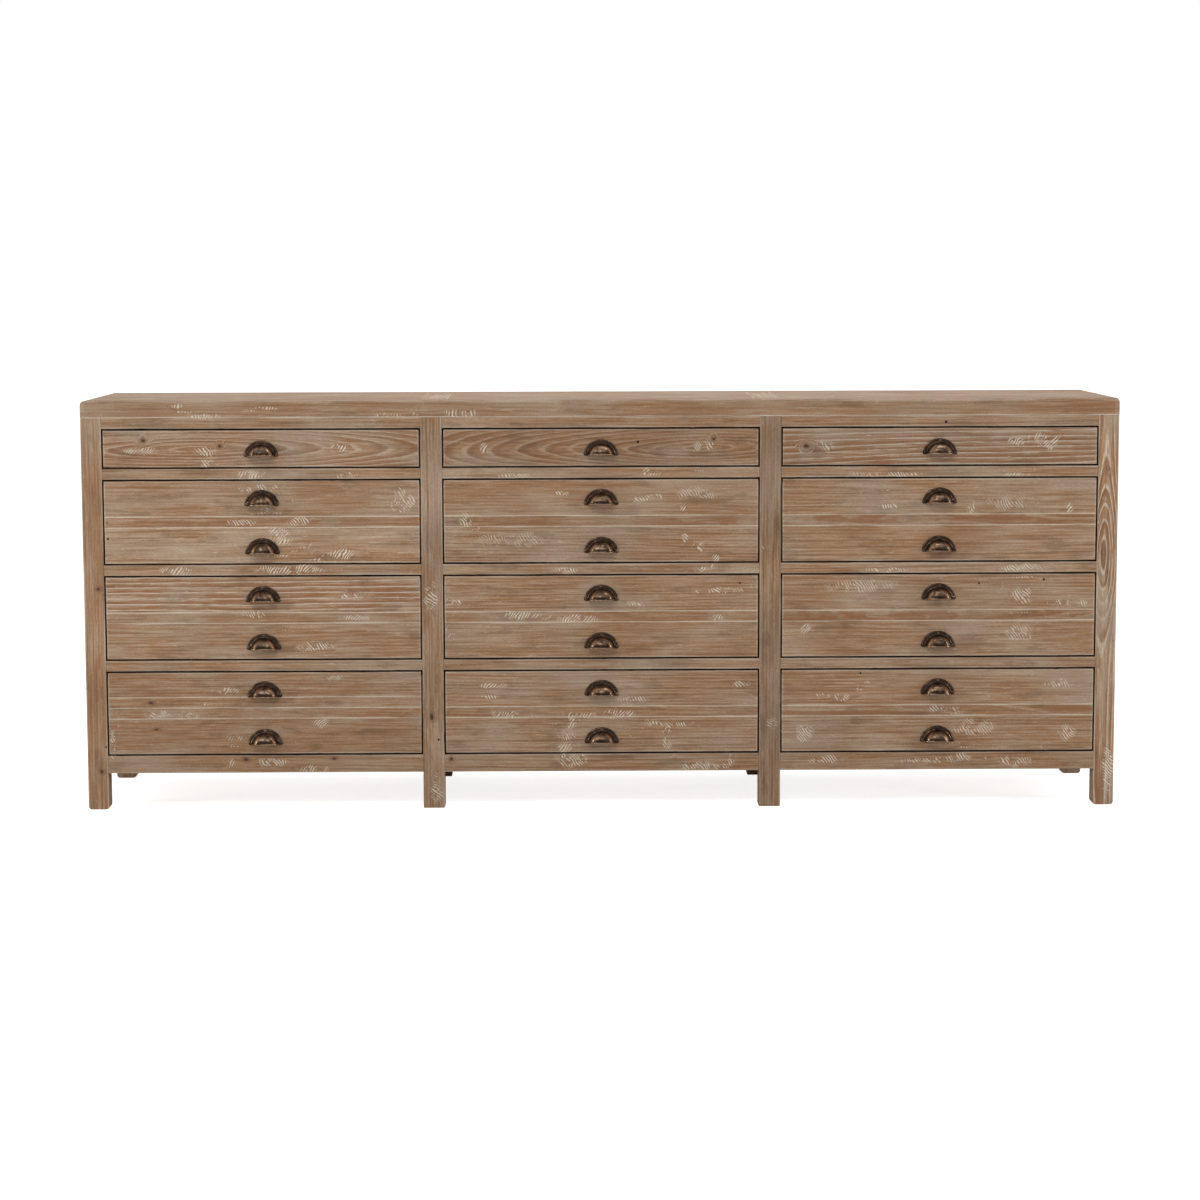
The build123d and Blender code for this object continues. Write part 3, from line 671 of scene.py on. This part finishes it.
put("OutputMaterial", put("BsdfPrincipled", {
    "Base Color": shade,
    "Roughness": put("MapRange", lines, 0.3, 0.7, 0.45, 0.6),
    "Normal": put("Bump", {"Strength": 0.3, "Distance": 0.3 * MM, "Height": lines}),
    "IOR": 1.5,
}))
print(len(INNER_PINE.node_tree.nodes), "nodes")

# %% [markdown]
# ## Plywood for the back
#
# The back panels are thin plywood. Its outer sheet is peeled off a turning log, so the rings make
# wide flame-like shapes and not lines. A wave texture bent by noise gives them, 60 mm apart.

# %% Birch-faced plywood
PLYWOOD, put = new_material("peeled plywood")
place = put("TexCoord").outputs["Object"]
flame = put("TexWave", {
    "Vector": put("VectorMath", place, (1.0, 1.0, 0.28), **TIMES),
    "Scale": 5.2, "Distortion": 9.0, "Detail": 2.0, "Detail Scale": 1.3,
}, bands_direction="X")
pore = put("TexNoise", put("VectorMath", place, (420, 420, 30), **TIMES), 1.0, 1.0)
shade = colour("#b39673")
for share, paint in (
    (put("MapRange", flame.outputs["Fac"], 0.1, 0.95, 0.0, 0.5), "#977752"),
    (put("MapRange", pore, 0.55, 0.7, 0.0, 0.4), "#7c6043"),
):
    shade = put("Mix", share, shade, colour(paint), **RGBA)
put("OutputMaterial", put("BsdfPrincipled", {
    "Base Color": shade,
    "Roughness": put("MapRange", pore, 0.3, 0.7, 0.5, 0.65),
    "Normal": put("Bump", {"Strength": 0.25, "Distance": 0.2 * MM, "Height": pore}),
    "IOR": 1.5,
}))
print(len(PLYWOOD.node_tree.nodes), "nodes")

# %% [markdown]
# ## Antique bronze
#
# The cup pulls are cast brass, browned with a chemical bath to look like old bronze, then rubbed so
# that copper shows on whatever stands proud. Each vertex carries how much it was rubbed, with a painted
# highlight added down the hood's sides, and noise in clouds of 10 mm and specks of 1 mm breaks that up.
# It also carries how dark it is: patina in the hollows, and a painted dark reflection in a band above
# the lip. Brown patina is duller than rubbed metal. A metal keeps the default IOR.

# %% Antique bronze
BRONZE, put = new_material("antique bronze")
wear_and_painted_light_vector = put("Attribute", attribute_name="wear").outputs["Vector"]
# A rubbed share with a painted highlight down the hood's sides, and a dark share of patina plus a painted
# dark reflection above the lip
rubbed_and_painted_highlight, patina_and_painted_reflection, _ = put("SeparateXYZ", wear_and_painted_light_vector).outputs
place = put("TexCoord").outputs["Object"]
cloud, speck = put("TexNoise", place, 95.0, 4.0, 0.6), put("TexNoise", place, 900.0, 2.0, 0.5)
uneven = put("Math", put("MapRange", cloud, 0.3, 0.7, -0.35, 0.35), rubbed_and_painted_highlight, **PLUS)
uneven = put("Math", put("MapRange", speck, 0.35, 0.65, -0.12, 0.12), uneven, **PLUS)
copper = put("MapRange", uneven, 0.15, 0.95, **SMOOTH)
shade = colour("#3b2f28")
# The dark colour lays patina in the hollows and a painted dark reflection in a band above the hood's lip
for share, paint in ((copper, "#967961"), (put("Math", patina_and_painted_reflection, 0.7, **TIMES), "#211915")):
    shade = put("Mix", share, shade, colour(paint), **RGBA)
height = put("Math", speck, cloud, **PLUS)
put("OutputMaterial", put("BsdfPrincipled", {
    "Base Color": shade,
    "Metallic": 1.0,
    "Roughness": put("MapRange", copper, 0.0, 1.0, 0.42, 0.26),
    "Normal": put("Bump", {"Strength": 0.35, "Distance": 0.15 * MM, "Height": height}),
}))
print(len(BRONZE.node_tree.nodes), "nodes")

# %% [markdown]
# ## Steel screws
#
# The screws under the top are plain zinc-plated steel, slightly cloudy.

# %% Zinc-plated steel
STEEL, put = new_material("zinc plated steel")
cloud = put("TexNoise", put("TexCoord").outputs["Object"], 160.0, 3.0, 0.6)
shade = put("Mix", put("MapRange", cloud, 0.35, 0.65), colour("#8f8d8a"), colour("#b1afaa"), **RGBA)
rough = put("MapRange", cloud, 0.3, 0.7, 0.28, 0.45)
put("OutputMaterial", put("BsdfPrincipled", {"Base Color": shade, "Metallic": 1.0, "Roughness": rough}))
print(len(STEEL.node_tree.nodes), "nodes")

# %% Give the kept CAD pieces their materials
BOXES = [f"drawer_box_{column}_{row}" for column in COLUMNS for row in ROWS]
INNER_PIECES = ["rear_rails", "partitions", "drawer_runners", "drawer_guides", "drawer_stops", *BOXES]
for finish, nodes in ((INNER_PINE, INNER_PIECES), (PLYWOOD, ["back_panels"]), (STEEL, ["top_screws"])):
    for node in nodes:
        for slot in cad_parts[node].material_slots:
            slot.material = finish
    print(finish.name, "on", len(nodes), "kept CAD nodes")

# %% [markdown]
# ## Posts and rails
#
# Four front posts run from the floor to the top, with the rails between them. The grain runs up the
# posts and along the rails. The outer feet are rounded more, where they get knocked.


# %% One piece of limed boards
def limed(node, boards, name=None, body="cabinet"):
    """The boards as one piece of limed pine that stands for the node, named after it or by name."""
    return gather(f"limed_{name or node}", boards, body, node, PINE)


# %% Posts, as cut, tone, rounding of the foot and middle of an oval in mm, and sides with painted shade in the gaps
POSTS = {
    "outer_left": ("straight", (0.97, 0.6, 0.4), 7, 560, (0, 1)),
    "inner_left": ("straight", (0.89, 0.45, 0.55), 2, 400, (1, 1)),
    "inner_right": ("straight", (0.79, 0.35, 0.45), 2, 400, (1, 1)),
    "outer_right": ("oval", (1.03, 0.6, 0.9), 7, 560, (1, 0)),
}
rear = []
for i, (name, (cut, tone, foot, bow_place, waxed)) in enumerate(POSTS.items()):
    low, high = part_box(f"front_post_{name}")
    ends = ((foot, ACROSS_ONLY), (0.3, ALL))
    front = board(
        low, high, "z", "-y", 11 + i, radius=(1.2, 1.2, 1.0, 1.0), ends=ends, cut=cut,
        bow_place=bow_place, tone=tone, sway=0.22, marks=MARKS, waxed=waxed,
    )
    limed(f"front_post_{name}", [front], f"post_{name}")
    low.y, high.y = BACK - POST_DEPTH, BACK
    rear.append(board(low, high, "z", "+y", 21 + i, ends=ends, cut="straight", tone=tone))
    print(name, "post from", [round(c, 3) for c in low])
limed("rear_posts", rear)

# %% Front rails, with a tone for each level from the floor up
RAIL_TONES = [(0.93, 0.2, 0.45), (0.98, 0.2, 0.6), (1.0, 0.15, 0.65), (1.0, 0.3, 0.5), (0.95, 0.35, 0.5)]
for bay, (column, (x0, x1)) in enumerate(zip(COLUMNS, BAYS)):
    limed(f"front_rails_{column}", [
        board(
            (x0, FRONT, z0 * MM), (x1, FRONT + RAIL_DEPTH, z1 * MM), "x", "-y", 100 + 10 * bay + level,
            radius=(1.0, 1.0, 0.6, 0.6), cut="straight" if level == 4 or (level + bay) % 4 == 1 else "soft",
            tone=RAIL_TONES[level], marks=MARKS, wave=0.2, waxed=(level > 0, level < 4),
        )
        for level, (z0, z1) in enumerate(RAIL_LEVELS)
    ], f"rails_{column}")
print("rails:", len(COLUMNS) * len(RAIL_LEVELS))

# %% [markdown]
# ## Top and sides
#
# The top is a frame of edge boards and two cross battens round panels of three boards. Its ends are
# rounded over by 8 mm. The sides are boards set a little back between their rails.

# %% Edges and battens of the top
OVER_END, PLAIN_END = (8, FACE_ONLY), (0.3, ALL)
for seed, side, y0, outer, marks in (
    (41, "front", FRONT, (3.5, 0.5, 0.8, 0.8), MARKS),
    (42, "rear", BACK - TOP_FRAME, (0.5, 3.5, 0.8, 0.8), NO_MARKS),
):
    limed(f"top_edge_{side}", [board(
        (LEFT, y0, POST_TOP), (RIGHT, y0 + TOP_FRAME, TOP), "x", "+z", seed, radius=outer,
        ends=(OVER_END, OVER_END), ends_worn=0.6, tone=(0.92, 0.45, 0.4), marks=marks, seam=(0, 0, 0, 1),
    )])
x0, x1 = BAYS[1][0] - INNER_POST, BAYS[1][1] + INNER_POST
limed("top_battens", [
    board(
        (near, FRONT + TOP_FRAME, POST_TOP), (near + TOP_FRAME, BACK - TOP_FRAME, TOP), "y", "+z", seed,
        radius=(0.5, 0.5, 0.5, 0.5), worn=(0, 0, 0, 0), seam=(1, 1, 0, 0), tone=(1.14, 0.05, 1.0),
    )
    for seed, near in ((51, x0), (52, x1 - TOP_FRAME))
])
print("battens from", round(x0, 4), "to", round(x1, 4))

# %% Panels of the top
for bay, column in enumerate(COLUMNS):
    low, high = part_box(f"top_panel_{column}")
    levels = [low.y + i * (high.y - low.y) / 3 for i in range(4)]
    ends = (OVER_END if bay == 0 else PLAIN_END, OVER_END if bay == 2 else PLAIN_END)
    limed(f"top_panel_{column}", [
        board(
            (low.x, y0, low.z), (high.x, y1, high.z), "x", "+z", seed, radius=(0.8, 0.8, 0.5, 0.5),
            worn=(0, 0, 0, 0), ends=ends, seam=(0.5, 0.5, 0, 0), grid=12,
            cut=("arched", "soft", "straight")[seed % 3], tone=(1.0 + 0.03 * (seed % 3), 0.15, 0.8),
        )
        for seed, (y0, y1) in enumerate(zip(levels, levels[1:]), 60 + 3 * bay)
    ])

# %% Sides
side_y = FRONT + POST_DEPTH, BACK - POST_DEPTH
limed("side_rails", [
    board(
        (x0, side_y[0], z0 * MM), (x0 + SIDE_RAIL, side_y[1], z1 * MM), "y", face, seed + i,
        cut="straight", tone=(1.0, 0.3, 0.6),
    )
    for seed, face, x0 in ((81, "-x", LEFT), (83, "+x", RIGHT - SIDE_RAIL))
    for i, (z0, z1) in enumerate(SIDE_LEVELS)
])
levels = np.linspace(SIDE_LEVELS[0][1], SIDE_LEVELS[1][0], 5) * MM
for seed, name, face, x0 in ((85, "left", "-x", LEFT + SIDE_SETBACK), (89, "right", "+x", RIGHT - SIDE_RAIL)):
    limed(f"side_boards_{name}", [
        board(
            (x0, side_y[0], z0), (x0 + SIDE_BOARD, side_y[1], z1), "y", face, seed + i, grid=12,
            cut=("arched", "soft", "bold", "arched")[i], tone=(0.96 + 0.03 * i, 0.3, 0.55),
        )
        for i, (z0, z1) in enumerate(zip(levels, levels[1:]))
    ])
print("side boards are", round((levels[1] - levels[0]) / MM, 1), "mm high")

# %% [markdown]
# ## Drawer fronts
#
# A slim front is one plank. A deep one is two planks with a thin strip between, glued flush, and lime
# has filled both seams with a pale line. The lowest left front has two strips. Cuts and tones are
# read off the photo, from the lowest plank up.

# %% Planks of the fronts, as cut, lightness, russet and lime
STRIP_TONE, RUSSET_STRIP = (0.9, 1.0, 0.4), (0.92, 1.3, 0.3)
FRONTS = {
    "left_1": [("arched", 0.97, 0.5, 0.55)],
    "centre_1": [("arched", 0.87, 0.45, 0.4)],
    "right_1": [("bold", 0.88, 0.75, 0.75)],
    "left_2": [("soft", 1.07, 0.15, 0.7), ("soft", 0.97, 1.0, 0.5), ("soft", 0.98, 0.4, 0.5)],
    "centre_2": [("straight", 0.95, 0.2, 0.6), ("soft", *STRIP_TONE), ("soft", 0.98, 0.35, 0.45)],
    "right_2": [("soft", 1.0, 0.25, 0.5), ("broad", *RUSSET_STRIP), ("soft", 0.98, 0.2, 0.6)],
    "left_3": [("soft", 1.0, 0.5, 0.6), ("soft", 0.98, 0.6, 0.5), ("bold", 1.0, 1.0, 0.75)],
    "centre_3": [("soft", 0.98, 0.3, 0.5), ("soft", 0.95, 0.7, 0.4), ("straight", 0.98, 0.4, 0.6)],
    "right_3": [("soft", 0.98, 0.3, 0.6), ("broad", *RUSSET_STRIP), ("soft", 0.96, 0.25, 0.6)],
    "left_4": [
        ("soft", 0.9, 0.5, 0.5), ("soft", 0.93, 0.6, 0.5), ("soft", 0.95, 0.5, 0.5),
        ("straight", 0.92, 0.6, 0.55),
    ],
    "centre_4": [("straight", 0.97, 0.25, 0.6), ("soft", 0.95, 0.7, 0.4), ("straight", 0.96, 0.3, 0.6)],
    "right_4": [("straight", 0.96, 0.3, 0.6), ("broad", 0.94, 1.0, 0.3), ("soft", 0.97, 0.2, 0.6)],
}
for bay, column in enumerate(COLUMNS):
    for row in ROWS:
        node, woods = f"drawer_front_{column}_{row}", FRONTS[f"{column}_{row}"]
        low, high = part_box(node)
        lowest_seam = (low.z + high.z) / 2 - STRIP / 2
        levels = [low.z, *(lowest_seam + i * STRIP for i in range(len(woods) - 1)), high.z]
        planks = []
        for i, (cut, *tone) in enumerate(woods):
            first, last = i == 0, i == len(woods) - 1
            planks.append(board(
                (low.x, low.y, levels[i]), (high.x, high.y, levels[i + 1]), "x", "-y",
                200 + 20 * bay + 4 * row + i, radius=(1.5 if first else 0.4, 1.5 if last else 0.4, 0.5, 0.5),
                worn=(first, last, 0, 0), seam=(not first, not last, 0, 0), cut=cut, tone=tone,
                ends=((1.3, ALL), (1.3, ALL)), ends_worn=1, marks=MARKS, waxed=(first, last),
            ))
        limed(node, planks, body=f"drawer_{column}_{row}")
print("drawer fronts:", len(FRONTS))

# %% [markdown]
# ## Cup pulls
#
# A cup pull is a half-round plate with a hood over its middle, open below for the fingers. We make
# the plate as a strip between two arches with one centre. A list of shares across the strip and
# heights gives its cross-section, with a fine bead near the hood. The hood is squarer than a dome
# when seen from above, which draws the light into two upright lines.

# %% Outlines of the plate, in millimetres
HALF_PLATE, HOOD_RADIUS, ARCH_SINK = 39.5, 29.67, 3.67


def outer_arch(half=HALF_PLATE, height=PULL_HEIGHT / MM, corner=4.0):
    """The plate's edge: a circle through (-half, 0), (0, height) and (half, 0), with rounded feet."""
    big = (half**2 + height**2) / (2 * height)
    sink = big - height
    foot_x = math.sqrt((big - corner) ** 2 - (corner + sink) ** 2)
    touch = math.atan2(corner + sink, foot_x)
    turn = np.linspace(-math.pi / 2, touch, 7)
    rise = np.linspace(touch, math.pi / 2, 24)[1:]
    x = np.concatenate([foot_x + corner * np.cos(turn), big * np.cos(rise)])
    z = np.concatenate([corner + corner * np.sin(turn), big * np.sin(rise) - sink])
    return np.concatenate([x, -x[-2::-1]]), np.concatenate([z, z[-2::-1]])


def inner_outline(x, z, radius=28.7, sink=ARCH_SINK):
    """Where a line from the origin to each point crosses a circle of that radius about (0, -sink)."""
    angle = np.arctan2(z, x)
    c, s = np.cos(angle), np.sin(angle)
    reach = np.sqrt(radius**2 - sink**2 * c**2) - sink * s
    return reach * c, reach * s


arch_x, arch_z = outer_arch()
print("plate is", round(float(np.ptp(arch_x)), 1), "mm wide")


# %% The plate
def plate():
    """Point = inner + share (outer - inner), standing out by rise, for each pair in the section."""
    share, rise = np.transpose([
        (0.0, 0.0), (0.0, 2.6), (0.1, 4.6), (0.13, 4.1), (0.17, 3.4), (0.22, 3.05), (0.28, 3.0),
        (0.31, 3.4), (0.35, 3.65), (0.39, 3.4), (0.42, 3.0), (0.55, 3.05), (0.74, 3.0), (0.8, 2.85),
        (0.83, 2.3), (0.91, 2.1), (0.97, 1.8), (1.0, 1.1), (1.0, 0.0),
    ])
    rubbed_and_painted_highlight = [0, 0.1, 0.4, 0.35, 0.15, 0, 0, 0.4, 0.6, 0.4, 0, 0, 0.05, 0.4, 0.1, 0.15, 0.4, 0.3, 0]
    patina_and_painted_reflection = [0, 0, 0, 0.1, 0.2, 0.2, 0.1, 0, 0, 0, 0.2, 0.1, 0.1, 0, 0.4, 0.2, 0, 0, 0]
    x_in, z_in = inner_outline(arch_x, arch_z)
    x = x_in[:, None] + share * (arch_x - x_in)[:, None]
    z = z_in[:, None] + share * (arch_z - z_in)[:, None]
    rows = np.arange(len(arch_x))
    y = -rise * np.interp(np.minimum(rows, rows[::-1]), (0, 1, 2), (0.62, 0.9, 1.0))[:, None]
    return np.stack([x, y, z], -1), np.stack([rubbed_and_painted_highlight + 0 * x, patina_and_painted_reflection + 0 * x, 0 * x], -1)


# %% The hood
HOOD_FOOT, HOOD_RISE, HOOD_WALL, LIP_LEVEL, LIP = 4.5, 21.5, 1.8, 3.0, 1.3


def hood(radius=HOOD_RADIUS, sink=ARCH_SINK, reach=25.0, bulge=2.9):
    """Rows of a profile, each a superellipse in plan: x = a C(phi) and y = -b S(phi), phi from 0 to 180.

    C and S are cos and sin to the power 2 / bulge. At height z, a is half the plate's inner arch, and
    b a quarter ellipse that closes at the crown. Outside it runs down to a round lip, and inside up.
    """
    down = np.linspace(math.pi / 2, 0, 15)
    lip = np.radians(np.linspace(62, -215, 12))
    outside = HOOD_FOOT + HOOD_RISE * np.sin(down)
    inside = HOOD_FOOT + (HOOD_RISE - HOOD_WALL) * np.sin(down[::-1])
    z = np.concatenate([outside, LIP_LEVEL + LIP * np.sin(lip), inside])
    level = np.concatenate([outside, LIP_LEVEL + 0 * lip, outside[::-1]])
    grow = np.concatenate([0 * down, -0.3 + LIP * np.cos(lip), 0 * down - HOOD_WALL])
    closing = np.sqrt(np.clip(1 - (np.maximum(level - HOOD_FOOT, 0) / HOOD_RISE) ** 2, 0, 1))
    half = np.sqrt(np.maximum(radius**2 - (level + sink) ** 2, 0))
    a, b = (np.where(closing < 1e-6, 0, np.maximum(size + grow, 0)) for size in (half, reach * closing))
    rubbed_and_painted_highlight = np.concatenate([
        np.interp(down, (0, 0.3, 0.6, 1.0, 1.45), (0.3, 0.35, 0.5, 0.5, 0.35)),
        np.interp(np.arange(12), (0, 2, 4, 8, 11), (0.4, 1.0, 1.2, 0.5, 0)), np.zeros(15),
    ])
    # Painted dark reflection: the front of the hood's outer wall is darkened in a band just above the lip;
    # inside the cup it is patina
    patina_and_painted_reflection = np.concatenate([
        np.interp(down, (0, 0.2, 0.36), (0.85, 0.7, 0)),
        np.interp(np.arange(12), (0, 2, 12), (0.6, 0, 0)), np.full(15, 0.6),
    ])
    phi = np.linspace(0, math.pi, 49)[:, None]
    c = np.sign(np.cos(phi)) * np.abs(np.cos(phi)) ** (2 / bulge)
    s = np.abs(np.sin(phi)) ** (2 / bulge)
    # Painted highlight: the metal is made brighter and smoother in two upright bands at |C| = 0.8, where the
    # side lamps' lines fall
    painted_side_highlight = 0.8 * np.exp(-(((np.abs(c) - 0.8) / 0.12) ** 2)) * (grow > -1)
    facing = np.clip((s - 0.55) / 0.3, 0, 1)
    wear = np.stack([rubbed_and_painted_highlight * (0.7 + 0.3 * facing) + painted_side_highlight, patina_and_painted_reflection * facing, 0 * phi * a], -1)
    return np.stack([a * c, -b * s, z + 0 * phi], -1), wear


# %% A screw head
def screw_head(radius=2.8, rise=1.6, slot=0.75, seat=3.0):
    """A square grid pressed to a disc, domed: x = u sqrt(1 - v^2 / 2), z = v sqrt(1 - u^2 / 2)."""
    s = slot / radius / 2
    u = np.array([-1, -0.8, -0.5, -s - 0.02, -s, s, s + 0.02, 0.5, 0.8, 1])[:, None]
    v = np.array([-1, -0.75, -0.4, 0, 0.4, 0.75, 1])
    x, z = u * np.sqrt(1 - v**2 / 2), v * np.sqrt(1 - u**2 / 2)
    in_slot = np.abs(u) <= s + 1e-9
    dome = rise * np.sqrt(np.maximum(0, 1 - 0.9 * (x**2 + z**2)))
    dome = np.where(in_slot, np.minimum(dome, 0.35 * rise), dome)
    wear = np.stack([0.35 + 0 * dome, 0.8 * in_slot + 0 * dome, 0 * dome], -1)
    return np.stack([x * radius, -seat - dome, z * radius], -1), wear


# %% Turn grids into closed surfaces
def skin(points, wear, closed):
    """Quads between neighbours on a grid, joined round when closed, with a face over each open end."""
    index = np.arange(points[..., 0].size).reshape(points.shape[:2])
    near, far = (index, np.roll(index, -1, 1)) if closed else (index[:, :-1], index[:, 1:])
    quads = np.stack([near[:-1], near[1:], far[1:], far[:-1]], -1).reshape(-1, 4)
    if closed:
        caps = [index[0], index[-1][::-1]]
    else:
        caps = [np.concatenate([index[0], index[1:, -1], index[-1, -2::-1], index[-2:0:-1, 0]])]
    flat = points.reshape(-1, 3)
    return flat, *facing_out(flat, quads, caps), {"wear": wear.reshape(-1, 3)}


PLATE, HOOD, SCREW = (
    skin(*surface, closed) for surface, closed in ((plate(), True), (hood(), True), (screw_head(), False))
)
print("faces of plate, hood and screw:", [len(part[1]) for part in (PLATE, HOOD, SCREW)])

# %% Put the pulls on the drawers
PULL = [(PLATE, 0, 0), (HOOD, 0, 0), (SCREW, -33.5, 5.0), (SCREW, 33.5, 5.0), (SCREW, 0, 31.0)]
for column in COLUMNS:
    for row in ROWS:
        node = f"cup_pulls_{column}_{row}"
        low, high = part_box(node)
        bases = [low.z] if row == 1 else [low.z, high.z - PULL_HEIGHT]
        surfaces = [
            ((flat + (x, 0, z)) * MM + ((low.x + high.x) / 2, FRONT, base), *rest)
            for base in bases
            for (flat, *rest), x, z in PULL
        ]
        made = gather(
            f"bronze_pulls_{column}_{row}", surfaces, f"drawer_{column}_{row}", node, BRONZE
        )
        joined = bmesh.new()
        joined.from_mesh(made.data)
        bmesh.ops.remove_doubles(joined, verts=joined.verts, dist=1e-6)
        joined.to_mesh(made.data)
        joined.free()
print("faces of the last pair of pulls:", len(made.data.polygons))

# %% [markdown]
# ## Floor, background and light
#
# The photo shows the chest on pure white. The world is white to the camera and in reflections, and
# lights the wood at a lower level, with a darker side behind the camera as in a real studio, which
# gives the bronze its depth. A broad lamp over the front does most of the work, and two tall strips
# at the sides draw the bright lines down the cup pulls. The floor is white and keeps the shadow.

# %% Floor
FLOOR, put = new_material("white studio floor")
seen = put("LightPath").outputs["Is Camera Ray"]
paper = put("TexNoise", put("TexCoord").outputs["Object"], 3.0, 2.0)
white = put("Mix", paper, colour("#f2f2f2"), colour("#f6f6f6"), **RGBA)
glow = put("Emission", white, put("Math", seen, 0.92, **TIMES))
put("OutputMaterial", put("AddShader", put("BsdfDiffuse", white), glow))
SPAN = 30.0
corners = [(-SPAN, -SPAN, 0), (SPAN, -SPAN, 0), (SPAN, SPAN, 0), (-SPAN, SPAN, 0)]
floor_mesh = bpy.data.meshes.new("studio_floor")
floor_mesh.from_pydata(corners, [], [(0, 1, 2, 3)])
floor_mesh.materials.append(FLOOR)
floor = bpy.data.objects.new("studio_floor", floor_mesh)
bpy.context.scene.collection.objects.link(floor)

# %% World
world = bpy.data.worlds.new("white studio")
world.use_nodes = True
world.node_tree.nodes.clear()
put = partial(add, world.node_tree)
path = put("LightPath").outputs
straight = put("Math", path["Is Camera Ray"], path["Is Transmission Ray"], use_clamp=True, **PLUS)
shown = put("Math", straight, path["Is Glossy Ray"], use_clamp=True, **PLUS)
_, toward_back, _ = put("SeparateXYZ", put("TexCoord").outputs["Generated"]).outputs
card = put("MapRange", toward_back, -0.75, 0.0, 0.37, 1.0, **SMOOTH)
strength = put("MapRange", shown, 0.0, 1.0, 0.5, 1.0)
strength = put("Math", strength, put("Mix", straight, card, 1.0), **TIMES)
put("OutputWorld", put("Background", colour("#ffffff"), strength))
bpy.context.scene.world = world


# %% Lamps
def lamp(name, place, target, size, watts):
    """A rectangular lamp at a place in metres, turned to a target."""
    light = bpy.data.lights.new(name, "AREA")
    light.shape, light.size, light.size_y, light.energy = "RECTANGLE", size[0], size[1], watts
    made = bpy.data.objects.new(name, light)
    made.location = place
    made.rotation_euler = (Vector(target) - Vector(place)).to_track_quat("-Z", "Y").to_euler()
    bpy.context.scene.collection.objects.link(made)


lamp("key", (-0.9, -3.6, 3.7), (0, 0, 0.5), (3.4, 1.4), 81)
lamp("top", (0.3, 0.2, 3.6), (0, 0, 0.9), (3.0, 1.2), 31)
lamp("strip_left", (-3.9, -1.6, 1.3), (0, -0.2, 0.5), (0.3, 2.2), 48)
lamp("strip_right", (3.9, -1.6, 1.3), (0, -0.2, 0.5), (0.3, 2.2), 48)
print("lamps:", len(bpy.data.lights))

# %% [markdown]
# ## Camera
#
# The lens and place were worked out from the photo's corners: 6.4 m in front of the chest, a little
# left of its middle, 1.19 m up and looking down by 6.4 degrees.

# %% Camera
pitch, yaw, roll = -0.112, -0.0121, -0.0029
camera = bpy.data.cameras.new("photo")
camera.lens, camera.sensor_width, camera.clip_end = 86.51, 36.0, 100.0
viewer = bpy.data.objects.new("photo", camera)
turn = Matrix.Rotation(yaw, 4, "Z") @ Matrix.Rotation(math.pi / 2 + pitch, 4, "X")
turn = turn @ Matrix.Rotation(roll, 4, "Z")
viewer.matrix_world = Matrix.Translation((-0.0803, -0.216 - 6.3827, 1.1859)) @ turn
bpy.context.scene.collection.objects.link(viewer)
bpy.context.scene.camera = viewer
bpy.context.scene.view_settings.view_transform = "Standard"
print("camera at", [round(c, 3) for c in viewer.matrix_world.translation])
